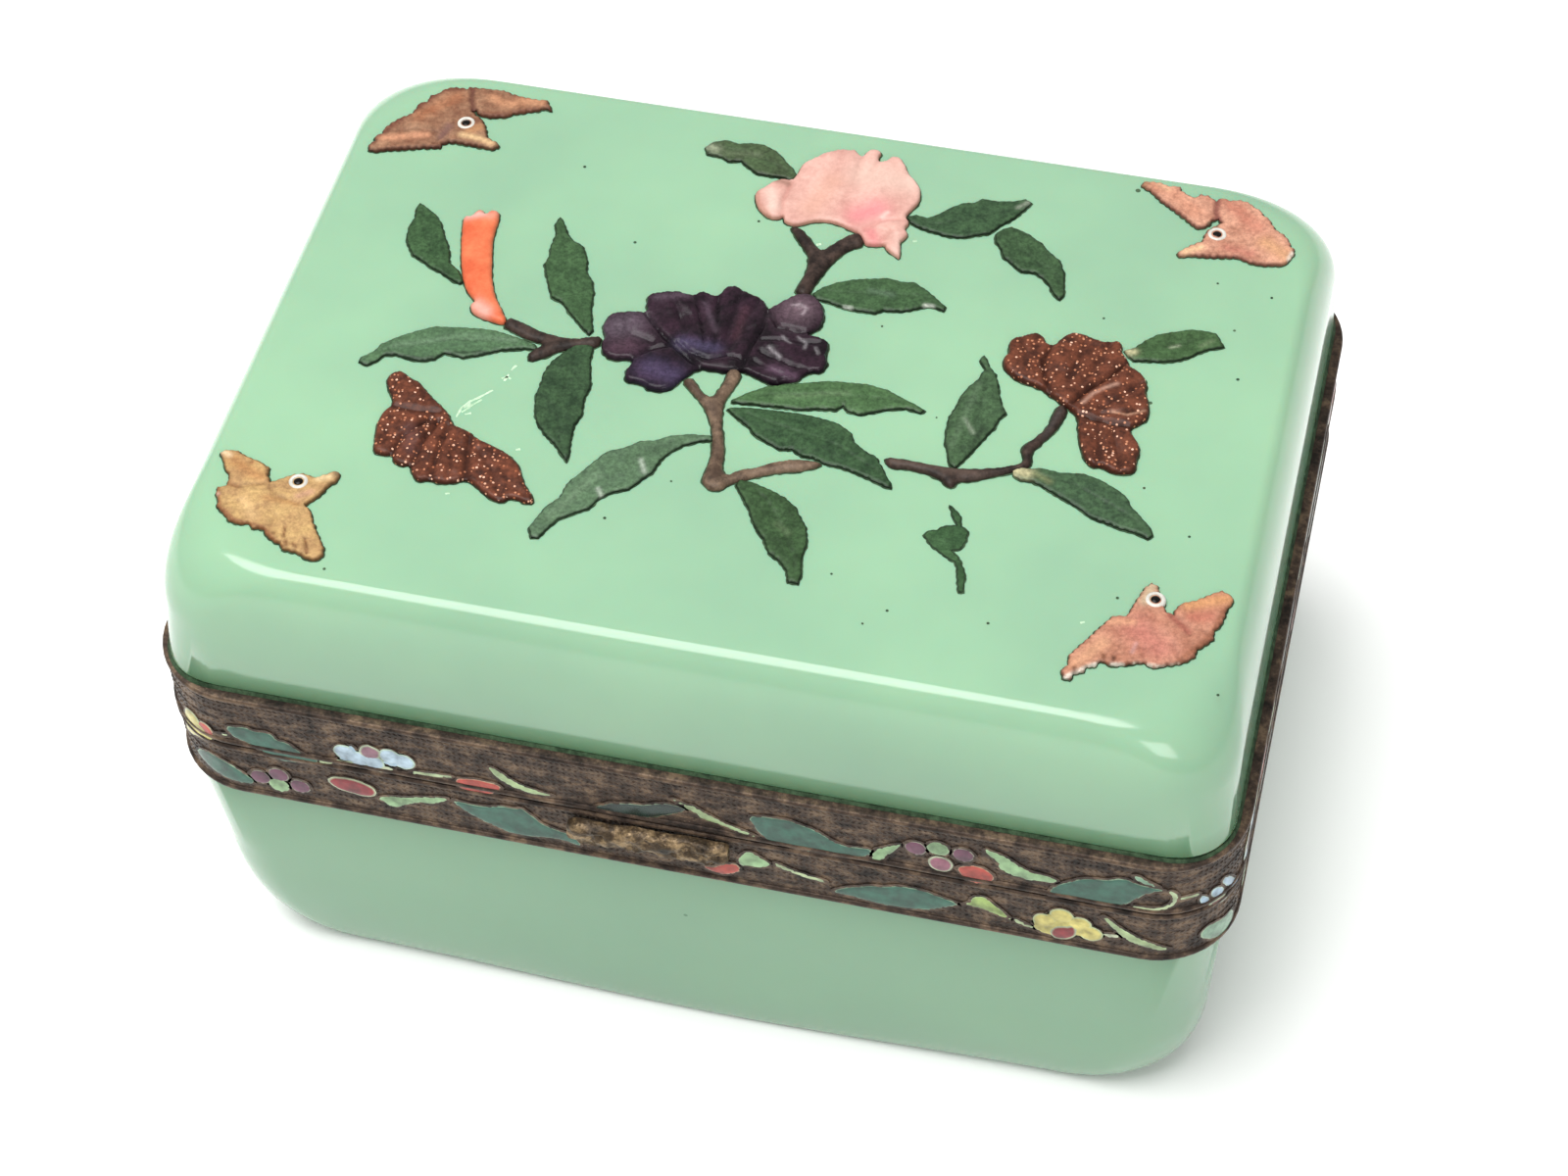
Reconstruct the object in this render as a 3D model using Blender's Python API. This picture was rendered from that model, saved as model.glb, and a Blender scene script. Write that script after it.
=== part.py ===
# A lidded trinket box: two moulded glass halves, each edged by a stamped brass rim
# with a front thumb bar, and a spray of carved hardstone laid on the lid.
# The front faces -Y, the box stands on z = 0 and the origin is under the middle of
# everything, thumb bar included.

from math import atan, ceil, cos, log, pi, sin

import bmesh
import bpy
from mathutils import Vector
from mathutils.geometry import delaunay_2d_cdt

mm = 0.001

# Plan of the box, measured over the two rims
box_length = 115.0 * mm
box_width = 83.5 * mm
rim_corner = 9.1 * mm

# The two rims, and the play that every pair of touching pieces keeps
fit_gap = 0.3 * mm
rim_height = 8.05 * mm
rim_wall = 1.25 * mm
rim_bead = 0.3 * mm
rim_flange = 1.1 * mm
lip_width = 1.0 * mm
lip_height = 1.5 * mm

# Glass base
base_height = 32.0 * mm
base_floor = 4.0 * mm
base_side_draft = 0.045
base_foot_height = 17.0 * mm
base_foot_inset = 3.1 * mm
foot_bow = 1.2 * mm

# Glass lid
lid_height = 16.7 * mm
lid_roof = 3.6 * mm
lid_side_draft = 0.05
lid_shoulder_height = 9.0 * mm
lid_shoulder_inset = 3.4 * mm

# What both glass halves share
glass_wall = 3.5 * mm
glass_swell = 0.2 * mm
glass_corner = 6.2 * mm
corner_growth = 2.35
corner_steps = 5
side_steps = 3
round_steps = 5

# Thumb bar on the front of the rims
thumb_length = 17.2 * mm
thumb_height = 3.8 * mm
thumb_depth = 1.5 * mm
thumb_middle = -3.0 * mm
thumb_drop = 2.1 * mm
thumb_bevel = 0.8

# Carved pieces on the lid, by their greatest thickness
leaf_thickness = 0.55 * mm
stem_thickness = 0.7 * mm
bird_thickness = 0.65 * mm
blossom_thickness = 0.9 * mm
butterfly_thickness = 0.75 * mm
coral_thickness = 0.9 * mm
carving_edge = 0.55
groove_share = 0.62
eye_radius = 1.05 * mm
eye_stand = 0.1 * mm
edge_step = 1.5
relief_step = 2.1
tooth_depth = 0.22

# The spray is drawn in millimetres on a panel of this size, which is then laid on
# the lid's flat top. The panel's middle is this far back of the drawing's zero.
drawing_length = 104.6
drawing_width = 73.1
drawing_back = 0.3

# Heights and insets that follow from the sizes above
rim_base = base_height
seam = rim_base + rim_height + fit_gap / 2
lid_rim_base = seam + fit_gap / 2
rim_top = lid_rim_base + rim_height
lid_top = rim_top + lid_height
channel_inset = rim_wall + fit_gap
glass_inset = channel_inset - glass_swell
inner_inset = channel_inset + glass_wall
flange_inset = inner_inset + fit_gap
lip_inset = flange_inset + fit_gap
base_seat = rim_base + rim_height - rim_flange - fit_gap
lid_seat = lid_rim_base + rim_flange + fit_gap
base_wall_height = base_height - base_foot_height
lid_wall_height = lid_height - lid_shoulder_height
base_side_inset = glass_inset + base_side_draft * base_wall_height
lid_side_inset = glass_inset + lid_side_draft * lid_wall_height
lid_flat_inset = lid_side_inset + lid_shoulder_inset
spray_x = (box_length - 2 * lid_flat_inset) / drawing_length
spray_y = (box_width - 2 * lid_flat_inset) / drawing_width
spray_floor = lid_top + fit_gap
eye_reach = eye_radius * min(1.0, spray_x, spray_y)

# Leaves of the spray: base, tip, full width, sideways bend and the place of the
# widest point as a share of the length
leaves = [
    ((-4.5, 29.2), (-14.5, 31.1), 4.2, -0.9, 0.50),
    ((10.6, 25.2), (21.6, 30.5), 4.7, -1.0, 0.50),
    ((19.9, 25.6), (27.9, 17.3), 3.8, 0.8, 0.50),
    ((2.8, 11.8), (16.1, 13.4), 4.9, 0.9, 0.50),
    ((-35.7, 6.7), (-43.0, 16.3), 4.3, 1.0, 0.50),
    ((-20.0, 2.1), (-27.3, 17.2), 4.4, 0.6, 0.45),
    ((-25.6, -1.2), (-41.6, -7.6), 4.5, -1.4, 0.50),
    ((-19.3, -0.8), (-17.2, -16.0), 5.3, -1.4, 0.45),
    ((-3.5, -10.2), (-17.8, -26.8), 5.0, -1.7, 0.55),
    ((-2.3, -4.4), (17.0, -1.8), 3.9, 1.0, 0.50),
    ((-1.9, -5.8), (16.3, -12.6), 5.1, 0.9, 0.50),
    ((1.3, -15.5), (9.7, -26.8), 4.4, 1.0, 0.55),
    ((21.4, -8.3), (21.9, 7.3), 5.0, -1.0, 0.45),
    ((30.2, -7.9), (42.8, -13.7), 4.1, 1.2, 0.45),
    ((36.9, 10.3), (45.7, 14.4), 4.1, 0.3, 0.55),
]
leaf_steps = 8
leaf_point = 0.85
leaf_serration = 0.07
leaf_least = 0.22

# Twigs as runs of (x, y, width), and the curved bar of coral
stems = {
    "left_twig": [
        [(-28.8, 0.8, 1.5), (-22.6, -0.4, 1.8), (-18.8, 0.6, 1.4)],
        [(-22.6, -0.5, 1.6), (-24.8, -2.9, 1.5)],
    ],
    "upper_twig": [
        [(0.8, 12.4, 1.7), (1.5, 17.3, 2.2), (-1.7, 21.0, 1.6)],
        [(1.5, 17.0, 1.9), (3.1, 19.4, 1.9), (4.8, 21.0, 1.7)],
    ],
    "main_branch": [
        [(-7.2, -3.4, 1.5), (-4.0, -6.4, 1.9), (-2.5, -9.9, 1.5), (-1.6, -16.3, 2.0)],
        [(-4.0, -6.2, 1.5), (-3.3, -1.6, 1.6)],
        [(-1.2, -15.7, 1.6), (3.4, -13.2, 1.6), (7.6, -12.2, 1.5)],
    ],
    "right_branch": [
        [(15.6, -9.4, 1.4), (21.3, -10.2, 1.9), (25.0, -9.6, 1.6), (29.1, -7.5, 1.6)],
        [(21.0, -10.4, 1.6), (22.0, -11.6, 0.9)],
        [(29.1, -7.4, 1.4), (28.5, -4.9, 1.4), (30.9, 1.0, 1.6)],
    ],
}
coral = [(-35.5, 16.3, 3.3), (-35.0, 10.8, 3.0), (-33.3, 5.0, 3.2), (-29.9, 1.2, 2.2)]

# Outlines run anticlockwise. Each point gives x, y, the bulge of the edge that
# follows as a share of half its chord, and the number of teeth cut along it.
# A ridge is a line along which the carving reaches its full thickness, and a
# groove is one along which it stays low.
blossoms = {
    "amethyst_blossom": {
        "outline": [
            (-17.8, 1.4, 0.60, 0), (-14.2, -1.4, 0.45, 0), (-12.6, -4.4, 0.45, 0),
            (-8.6, -3.2, 0.00, 0), (-7.1, -1.0, 0.00, 0), (-2.6, -0.5, 0.15, 0),
            (1.4, -0.9, 0.25, 0), (4.2, 0.9, 0.25, 0), (5.8, 1.6, 0.30, 0),
            (5.5, 5.3, 0.30, 0), (2.8, 6.1, 1.10, 0), (-1.9, 8.8, 0.30, 0),
            (-4.6, 10.6, 0.45, 0), (-7.5, 9.6, 0.40, 0), (-10.2, 9.1, 0.30, 0),
            (-14.9, 8.0, 0.10, 0), (-14.3, 5.4, 0.65, 0),
        ],
        "ridges": [
            [(-16.2, 3.5), (-13.2, 2.0)], [(-16.0, -0.5), (-13.0, 0.6)],
            [(-11.5, -3.6), (-9.5, 0.0)], [(-13.0, 7.0), (-9.0, 3.0)],
            [(-5.4, 10.0), (-4.6, 3.0)], [(2.0, 9.0), (0.4, 6.2)],
            [(4.6, 4.0), (0.2, 3.4)], [(2.6, 0.2), (-1.0, 1.2)],
        ],
        "grooves": [
            [(-12.4, 4.0), (-8.0, 0.4)], [(-8.2, 7.8), (-6.8, 2.2)],
            [(-1.8, 7.2), (-2.2, 1.0)], [(2.0, 5.2), (-1.4, 4.4)],
        ],
    },
    "pink_blossom": {
        "outline": [
            (-4.5, 28.2, 0.74, 3), (-5.2, 22.4, 0.10, 0), (-2.4, 21.8, -0.30, 0),
            (4.5, 22.3, 0.25, 0), (7.3, 20.4, 0.00, 0), (8.5, 21.0, 0.00, 0),
            (9.8, 19.8, 0.35, 0), (9.8, 23.6, 0.00, 0), (9.1, 25.8, 0.00, 0),
            (9.5, 26.8, 0.30, 0), (8.2, 32.4, 0.35, 0), (5.9, 34.5, 0.00, 0),
            (4.8, 33.5, 0.00, 0), (3.9, 34.9, 0.25, 0), (2.5, 34.0, 0.00, 0),
            (1.2, 34.8, 0.30, 2), (-3.4, 30.6, 0.00, 0),
        ],
        "ridges": [
            [(-1.0, 31.0), (0.6, 25.0)], [(-5.4, 25.0), (-1.0, 24.0)],
            [(5.8, 32.0), (4.4, 26.0)], [(8.6, 28.6), (6.0, 25.2)],
            [(8.8, 22.2), (6.0, 23.4)],
        ],
        "grooves": [
            [(3.2, 32.6), (2.6, 24.6)], [(-3.2, 27.0), (-0.6, 26.6)], [(8.4, 25.2), (5.6, 24.2)],
        ],
    },
    "goldstone_blossom": {
        "outline": [
            (24.1, 8.0, 0.45, 0), (25.7, 4.6, 0.10, 0), (31.0, 3.0, 0.00, 0),
            (32.9, 0.8, 0.00, 0), (33.6, -2.7, 0.00, 0), (35.2, -5.5, 0.10, 0),
            (38.0, -5.9, 0.30, 0), (39.7, -4.8, 0.10, 0), (39.6, -2.2, 0.20, 0),
            (38.3, 0.1, 0.00, 0), (39.7, 1.9, 0.15, 0), (38.9, 6.2, 0.25, 0),
            (36.5, 8.7, 0.20, 0), (35.6, 10.8, 0.25, 0), (34.8, 12.0, -0.10, 0),
            (32.4, 11.7, 0.40, 0), (28.8, 10.3, 0.00, 0), (27.6, 10.1, 0.70, 0),
            (24.1, 9.8, 0.15, 0),
        ],
        "ridges": [
            [(26.0, 9.4), (29.4, 5.8)], [(25.8, 6.2), (29.4, 4.0)],
            [(30.6, 10.6), (32.2, 4.4)], [(34.4, 10.0), (34.2, 5.0)],
            [(38.4, 6.0), (34.6, 2.2)], [(38.4, 2.0), (35.0, 1.0)],
            [(37.4, -3.6), (35.0, -0.6)],
        ],
        "grooves": [
            [(28.6, 8.4), (31.2, 3.6)], [(32.6, 10.4), (33.0, 4.0)],
            [(36.2, 7.4), (33.8, 3.4)], [(37.6, -0.4), (34.4, 0.2)],
        ],
    },
    "butterfly": {
        "outline": [
            (-38.4, -9.3, 0.05, 0), (-36.8, -13.4, 0.22, 0), (-36.5, -19.3, 0.35, 0),
            (-34.9, -19.4, 0.35, 0), (-32.5, -20.4, 0.40, 0), (-29.8, -21.7, 0.12, 0),
            (-26.4, -20.9, 0.12, 0), (-21.7, -23.0, 0.00, 0), (-18.9, -22.4, 0.05, 0),
            (-21.2, -18.1, 0.12, 0), (-27.6, -14.6, 0.00, 0), (-36.2, -8.9, 0.45, 0),
        ],
        "ridges": [
            [(-36.6, -10.6), (-33.4, -13.4)], [(-36.2, -17.4), (-34.0, -14.6)],
            [(-33.6, -19.6), (-32.2, -15.0)], [(-31.0, -20.8), (-30.2, -15.6)],
            [(-27.8, -20.6), (-28.0, -16.4)], [(-21.6, -21.6), (-25.6, -17.8)],
        ],
        "grooves": [
            [(-34.9, -18.4), (-33.4, -14.8)], [(-32.4, -19.4), (-31.4, -15.2)],
            [(-29.6, -20.6), (-29.0, -16.0)], [(-26.2, -19.8), (-26.8, -16.8)],
        ],
    },
}

birds = {
    "back_left_bird": {
        "outline": [
            (-51.0, 23.3, 0.00, 0), (-43.5, 25.4, 0.00, 0), (-43.0, 26.2, 0.00, 0),
            (-37.5, 26.5, 0.15, 0), (-39.0, 28.1, 0.25, 0), (-41.6, 31.4, 0.00, 0),
            (-39.4, 31.1, 0.05, 0), (-35.3, 33.2, 0.00, 0), (-33.2, 33.7, 0.00, 0),
            (-34.2, 35.1, 0.00, 3), (-39.6, 35.6, 0.12, 4), (-45.8, 33.6, 0.00, 3),
            (-48.2, 29.8, 0.00, 4), (-51.4, 25.0, 0.00, 0),
        ],
        "ridges": [[(-38.9, 27.2), (-43.6, 28.6), (-44.6, 31.0)], [(-44.8, 28.4), (-49.4, 25.4)],
                   [(-42.6, 33.4), (-36.0, 34.0)]],
        "eye": (-41.7, 29.5),
    },
    "back_right_bird": {
        "outline": [
            (39.0, 26.1, 0.00, 0), (46.1, 27.1, 0.00, 0), (46.9, 26.7, 0.08, 0),
            (50.4, 27.2, 0.00, 0), (50.9, 29.5, 0.00, 3), (48.1, 31.9, 0.08, 4),
            (45.6, 35.1, 0.12, 3), (42.3, 35.5, 0.00, 0), (41.5, 34.7, 0.00, 0),
            (39.9, 35.4, 0.00, 0), (39.2, 35.0, 0.00, 2), (37.4, 36.0, 0.00, 0),
            (33.9, 36.1, 0.00, 0), (33.4, 35.6, 0.00, 0), (40.4, 30.8, 0.00, 0),
            (41.3, 31.4, 0.00, 0), (41.6, 30.6, 0.30, 0), (41.1, 28.3, 0.00, 0),
        ],
        "ridges": [[(41.0, 27.4), (44.6, 29.4), (48.6, 28.8)], [(44.6, 31.0), (44.0, 34.0)],
                   [(40.4, 33.2), (36.0, 35.0)]],
        "eye": (42.6, 29.8),
    },
    "front_left_bird": {
        "outline": [
            (-50.8, -27.7, 0.15, 4), (-47.6, -31.8, 0.00, 3), (-44.2, -31.8, 0.00, 5),
            (-38.8, -34.6, 0.30, 0), (-37.6, -33.5, 0.05, 0), (-41.2, -27.9, 0.00, 0),
            (-39.1, -23.6, 0.25, 0), (-39.6, -23.0, 0.00, 0), (-41.3, -24.4, 0.12, 0),
            (-45.8, -25.8, 0.00, 0), (-46.3, -24.8, 0.10, 0), (-46.8, -23.5, 0.00, 2),
            (-50.7, -22.6, 0.25, 0), (-51.8, -23.3, 0.00, 3), (-50.0, -26.9, 0.00, 0),
        ],
        "ridges": [[(-39.7, -24.0), (-42.0, -26.6), (-46.6, -28.2)], [(-47.6, -27.0), (-50.2, -23.8)],
                   [(-45.0, -29.6), (-39.2, -33.4)]],
        "eye": (-42.9, -25.1),
    },
    "front_right_bird": {
        "outline": [
            (37.8, -32.9, 0.00, 5), (43.6, -29.8, 0.00, 3), (47.1, -29.6, 0.10, 3),
            (49.8, -27.5, 0.00, 4), (51.5, -23.1, 0.00, 2), (52.0, -20.1, 0.00, 0),
            (50.8, -18.9, 0.00, 0), (47.1, -21.5, 0.00, 0), (46.9, -23.0, 0.00, 0),
            (46.0, -22.2, 0.12, 0), (44.8, -19.5, 0.40, 0), (43.7, -19.6, 0.00, 0),
            (42.7, -24.1, 0.00, 0), (41.2, -24.3, 0.00, 0), (37.5, -31.4, 0.00, 0),
        ],
        "ridges": [[(44.3, -20.6), (44.8, -24.6), (46.0, -27.6)], [(43.0, -26.6), (39.0, -31.0)],
                   [(48.0, -24.4), (50.8, -20.6)]],
        "eye": (44.7, -21.6),
    },
}

# What is left of one torn leaf
leaf_fragment = [
    (20.6, -18.3, 0.00, 0), (21.5, -19.4, 0.00, 0), (23.4, -20.4, 0.00, 0),
    (24.6, -21.9, 0.00, 2), (25.2, -24.4, 0.00, 0), (25.9, -24.5, 0.00, 0),
    (25.6, -22.0, 0.00, 0), (24.3, -20.0, 0.00, 2), (25.0, -18.3, 0.00, 0),
    (24.1, -16.3, 0.00, 0), (22.2, -16.9, 0.00, 0),
]


def clear_scene():
    for thing in list(bpy.data.objects):
        bpy.data.objects.remove(thing, do_unlink=True)


def make_collection(name):
    group = bpy.data.collections.new(name)
    bpy.context.scene.collection.children.link(group)
    return group


def make_material(name, colour, roughness, metallic=0.0):
    material = bpy.data.materials.new(name)
    material.use_nodes = True
    shader = material.node_tree.nodes["Principled BSDF"]
    shader.inputs["Base Color"].default_value = (*colour, 1.0)
    shader.inputs["Roughness"].default_value = roughness
    shader.inputs["Metallic"].default_value = metallic
    material.diffuse_color = (*colour, 1.0)
    return material


def add_solid(name, shape, material, group, parent=None, smooth_below=0.5):
    """Turns a finished bmesh into an object of the box."""
    bmesh.ops.recalc_face_normals(shape, faces=shape.faces)
    mesh = bpy.data.meshes.new(name)
    shape.to_mesh(mesh)
    shape.free()
    mesh.materials.append(material)
    mesh.shade_smooth()
    mesh.set_sharp_from_angle(angle=smooth_below)
    solid = bpy.data.objects.new(name, mesh)
    solid.parent = parent
    group.objects.link(solid)
    return solid


def rounded_rectangle(inset, corner, height, bow=0.0, side_points=0):
    """A ring round the box: inset from the rims' outline, with bowed sides."""
    half = Vector((box_length / 2 - inset, box_width / 2 - inset))
    signs = ((1, 1), (-1, 1), (-1, -1), (1, -1))
    ring = []
    for quarter, (sign_x, sign_y) in enumerate(signs):
        centre = Vector((sign_x * (half.x - corner), sign_y * (half.y - corner)))
        for step in range(corner_steps + 1):
            angle = (quarter + step / corner_steps) * pi / 2
            ring.append(centre + corner * Vector((cos(angle), sin(angle))))
        next_x, next_y = signs[(quarter + 1) % 4]
        end = Vector((next_x * (half.x - corner), next_y * (half.y - corner)))
        outward = Vector((cos((quarter + 1) * pi / 2), sin((quarter + 1) * pi / 2)))
        for step in range(1, side_points + 1):
            share = step / (side_points + 1)
            swell = bow * (1 - (2 * share - 1) ** 2) ** 2
            ring.append(centre.lerp(end, share) + outward * (corner + swell))
    return [Vector((point.x, point.y, height)) for point in ring]


def loft(rings, closed=False):
    """Skins a row of rings of unlike sizes, which closes on itself or is capped."""
    shape = bmesh.new()
    rows = [[shape.verts.new(point) for point in ring] for ring in rings]
    if closed:
        pairs = zip(rows, rows[1:] + rows[:1])
    else:
        pairs = zip(rows, rows[1:])
        shape.faces.new(rows[0])
        shape.faces.new(rows[-1])
    for here, there in pairs:
        for i in range(len(here)):
            shape.faces.new((here[i - 1], here[i], there[i], there[i - 1]))
    return shape


def quarter_round(inset, height, run, rise, steps):
    """Points of a rounded edge that starts upright and ends level."""
    return [
        (inset + run * (1 - cos(step / steps * pi / 2)), height + rise * sin(step / steps * pi / 2))
        for step in range(1, steps + 1)
    ]


def glass_corner_at(inset):
    return glass_corner + corner_growth * max(0.0, inset - glass_inset)


def glass_rings(outer, inner, seat, mouth, bow_share):
    """Rings of a glass half from the middle of its closed side, out, and back in."""
    channel_corner = rim_corner - channel_inset
    rings = []
    for inset, height in outer:
        rings.append(rounded_rectangle(inset, glass_corner_at(inset), height,
                                       bow_share * (inset - glass_inset), side_steps))
    for height in (mouth, seat):
        rings.append(rounded_rectangle(channel_inset, channel_corner, height, 0.0, side_steps))
    for inset, height in inner:
        corner = channel_corner - glass_wall + corner_growth * (inset - inner_inset)
        rings.append(rounded_rectangle(inset, corner, height, 0.0, side_steps))
    return rings


def make_base_glass(material, group, parent):
    foot = quarter_round(base_side_inset, base_foot_height, base_foot_inset,
                         -base_foot_height, round_steps)
    outer = [(inset, height) for inset, height in reversed(foot)]
    outer += [(base_side_inset, base_foot_height), (glass_inset, rim_base - 2 * fit_gap)]
    hollow_foot = base_foot_height - base_floor
    inner = [(inner_inset, base_seat), (inner_inset + base_side_inset - glass_inset, base_foot_height)]
    inner += quarter_round(inner[-1][0], base_foot_height, base_foot_inset, -hollow_foot, round_steps - 1)
    foot_spread = foot_bow / (base_side_inset + base_foot_inset - glass_inset)
    rings = glass_rings(outer, inner, base_seat, rim_base, foot_spread)
    return add_solid("base_glass", loft(rings), material, group, parent)


def make_lid_glass(material, group, parent):
    shoulder = quarter_round(lid_side_inset, rim_top + lid_wall_height, lid_shoulder_inset,
                             lid_shoulder_height, round_steps)
    outer = [(inset, height) for inset, height in reversed(shoulder)]
    outer += [(lid_side_inset, rim_top + lid_wall_height), (glass_inset, rim_top + 2 * fit_gap)]
    hollow_shoulder = lid_shoulder_height - lid_roof
    inner = [(inner_inset, lid_seat),
             (inner_inset + lid_side_inset - glass_inset, rim_top + lid_wall_height)]
    inner += quarter_round(inner[-1][0], inner[-1][1], lid_shoulder_inset, hollow_shoulder,
                           round_steps - 1)
    rings = glass_rings(outer, inner, lid_seat, rim_top, 0.0)
    return add_solid("lid_glass", loft(rings), material, group, parent)


def make_rim(name, foot, flange_up, with_lip, material, group, parent):
    """A stamped rim: beaded band outside, a flange over the glass edge inside."""
    top = foot + rim_height
    seam_side, glass_side = (top, foot) if flange_up else (foot, top)
    inward = -1 if flange_up else 1
    band = [
        (rim_bead, glass_side),
        (0.0, glass_side + inward * -rim_bead * 1.5),
        (0.0, glass_side + inward * -rim_bead * 3.0),
        (rim_bead, glass_side + inward * -rim_bead * 4.5),
        (rim_bead, seam_side + inward * rim_bead * 4.5),
        (0.0, seam_side + inward * rim_bead * 3.0),
        (0.0, seam_side + inward * rim_bead * 1.5),
        (rim_bead, seam_side),
    ]
    if with_lip:
        lip_top = seam_side + fit_gap + lip_height
        band += [(lip_inset, seam_side), (lip_inset, lip_top), (lip_inset + lip_width, lip_top),
                 (lip_inset + lip_width, seam_side + inward * rim_flange)]
    else:
        band += [(flange_inset, seam_side), (flange_inset, seam_side + inward * rim_flange)]
    band += [(rim_wall, seam_side + inward * rim_flange), (rim_wall, glass_side)]
    rings = [rounded_rectangle(inset, max(rim_corner - inset, rim_wall), height)
             for inset, height in band]
    return add_solid(name, loft(rings, closed=True), material, group, parent)


def make_thumb_bar(material, group, parent):
    """A rounded bar on the front, level with the seam."""
    shape = bmesh.new()
    bmesh.ops.create_cube(shape, size=1.0)
    bmesh.ops.scale(shape, vec=(thumb_length, thumb_depth, thumb_height), verts=shape.verts)
    front = [edge for edge in shape.edges
             if all(corner.co.y < 0 for corner in edge.verts)
             and abs(edge.verts[0].co.x - edge.verts[1].co.x) > thumb_length / 2]
    bmesh.ops.bevel(shape, geom=front, offset=thumb_depth * thumb_bevel, segments=3, profile=0.5,
                    affect="EDGES")
    bar = add_solid("thumb_bar", shape, material, group, parent)
    bar.location = (thumb_middle, -box_width / 2 - fit_gap - thumb_depth / 2, seam - thumb_drop)
    return bar


def arc_points(start, end, bulge, teeth):
    """Points from start up to, but not including, end, bulging to the right."""
    chord = end - start
    length = chord.length
    outward = Vector((chord.y, -chord.x)) / length
    half_angle = 2 * atan(bulge)
    steps = max(1, ceil(length * (1 + abs(bulge)) / edge_step) if bulge else 1, 2 * teeth)
    points = []
    for step in range(steps):
        share = step / steps
        if abs(bulge) < 0.001:
            point = start + chord * share
        else:
            radius = length / 2 / sin(half_angle)
            angle = half_angle * (2 * share - 1)
            along = 0.5 + radius * sin(angle) / length
            sagitta = radius * (cos(angle) - cos(half_angle))
            point = start + chord * along + outward * sagitta
        if teeth and step % 2:
            point = point + outward * tooth_depth
        points.append(point)
    return points


def outline_points(outline):
    points = []
    for here, there in zip(outline, outline[1:] + outline[:1]):
        points += arc_points(Vector(here[:2]), Vector(there[:2]), here[2], here[3])
    return points


def strip_points(line):
    """The outline of a strip that follows a line of (x, y, width)."""
    left, right = [], []
    for index, (x, y, width) in enumerate(line):
        before = Vector(line[max(index - 1, 0)][:2])
        after = Vector(line[min(index + 1, len(line) - 1)][:2])
        side = (after - before).orthogonal().normalized() * width / 2
        left.append(Vector((x, y)) + side)
        right.append(Vector((x, y)) - side)
    return right + left[::-1]


def line_points(line, step):
    """Points spread along a line, both ends included."""
    points = []
    for start, end in zip(line, line[1:]):
        start, end = Vector(start), Vector(end)
        count = max(1, ceil((end - start).length / step))
        points += [start.lerp(end, i / count) for i in range(count)]
    return points + [Vector(line[-1])]


def carve(name, outlines, thickness, carved, material, group, parent):
    """A stone slice with the union of the outlines as its plan. Its edge is cut to a
    share of the thickness, and carved lists the (point, share) of its relief."""
    points, loops = [], []
    for outline in outlines:
        loops.append(list(range(len(points), len(points) + len(outline))))
        points += outline
    relief = points + [point for point, _ in carved]
    shares = [carving_edge] * len(points) + [share for _, share in carved]
    flat, _, triangles, from_points, _, _ = delaunay_2d_cdt(relief, [], loops, 1, 0.0001)
    shape = bmesh.new()
    corners = []
    for point, sources in zip(flat, from_points):
        share = max((shares[source] for source in sources), default=1.0)
        corners.append(shape.verts.new((point.x * spray_x, (point.y - drawing_back) * spray_y,
                                        spray_floor + thickness * share)))
    for triangle in triangles:
        shape.faces.new([corners[i] for i in triangle])
    loose = [corner for corner in corners if not corner.link_faces]
    bmesh.ops.delete(shape, geom=loose, context="VERTS")
    upper = set(shape.verts)
    bmesh.ops.extrude_face_region(shape, geom=shape.faces[:])
    lower = [corner for corner in shape.verts if corner not in upper]
    for corner in lower:
        corner.co.z = spray_floor
    under = set(lower)
    inside = [edge for edge in shape.edges
              if edge.verts[0] in under and edge.verts[1] in under and not edge.is_boundary
              and all(all(corner in under for corner in face.verts) for face in edge.link_faces)]
    bmesh.ops.dissolve_edges(shape, edges=inside, use_verts=False)
    orphans = [corner for corner in shape.verts if not corner.link_faces]
    bmesh.ops.delete(shape, geom=orphans, context="VERTS")
    return add_solid(name, shape, material, group, parent)


def leaf_outline(base, tip, width, bend, widest):
    """Both edges of a leaf, from its base along one side and back along the other."""
    base, tip = Vector(base), Vector(tip)
    sideways = (tip - base).orthogonal().normalized()
    power = log(0.5) / log(widest)
    edges = {-1: [], 1: []}
    middle = []
    for step in range(leaf_steps + 1):
        share = step / leaf_steps
        centre = base.lerp(tip, share) + sideways * bend * 4 * share * (1 - share)
        reach = width / 2 * sin(pi * share ** power) ** leaf_point
        reach *= 1 + leaf_serration * (-1) ** step
        reach = max(reach, leaf_least)
        for side in edges:
            edges[side].append(centre + sideways * side * reach)
        middle.append(centre)
    return edges[-1] + edges[1][::-1], middle[1:-1]


def make_leaves(material, group, parent):
    for number, leaf in enumerate(leaves, 1):
        outline, middle = leaf_outline(*leaf)
        carved = [(point, 1.0) for point in middle]
        carve(f"leaf_{number:02d}", [outline], leaf_thickness, carved, material, group, parent)
    carve("leaf_fragment", [outline_points(leaf_fragment)], leaf_thickness,
          [(Vector((23.6, -18.4)), 1.0), (Vector((24.9, -21.8)), 1.0)], material, group, parent)


def make_stems(material, group, parent):
    for name, runs in stems.items():
        outlines = [strip_points(run) for run in runs]
        carved = []
        for run in runs:
            carved += [(Vector(point[:2]), 1.0) for point in run]
        carve(name, outlines, stem_thickness, carved, material, group, parent)


def make_coral(material, group, parent):
    carved = [(Vector(point[:2]), 1.0) for point in coral[1:-1]]
    carve("coral_bar", [strip_points(coral)], coral_thickness, carved, material, group, parent)


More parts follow.
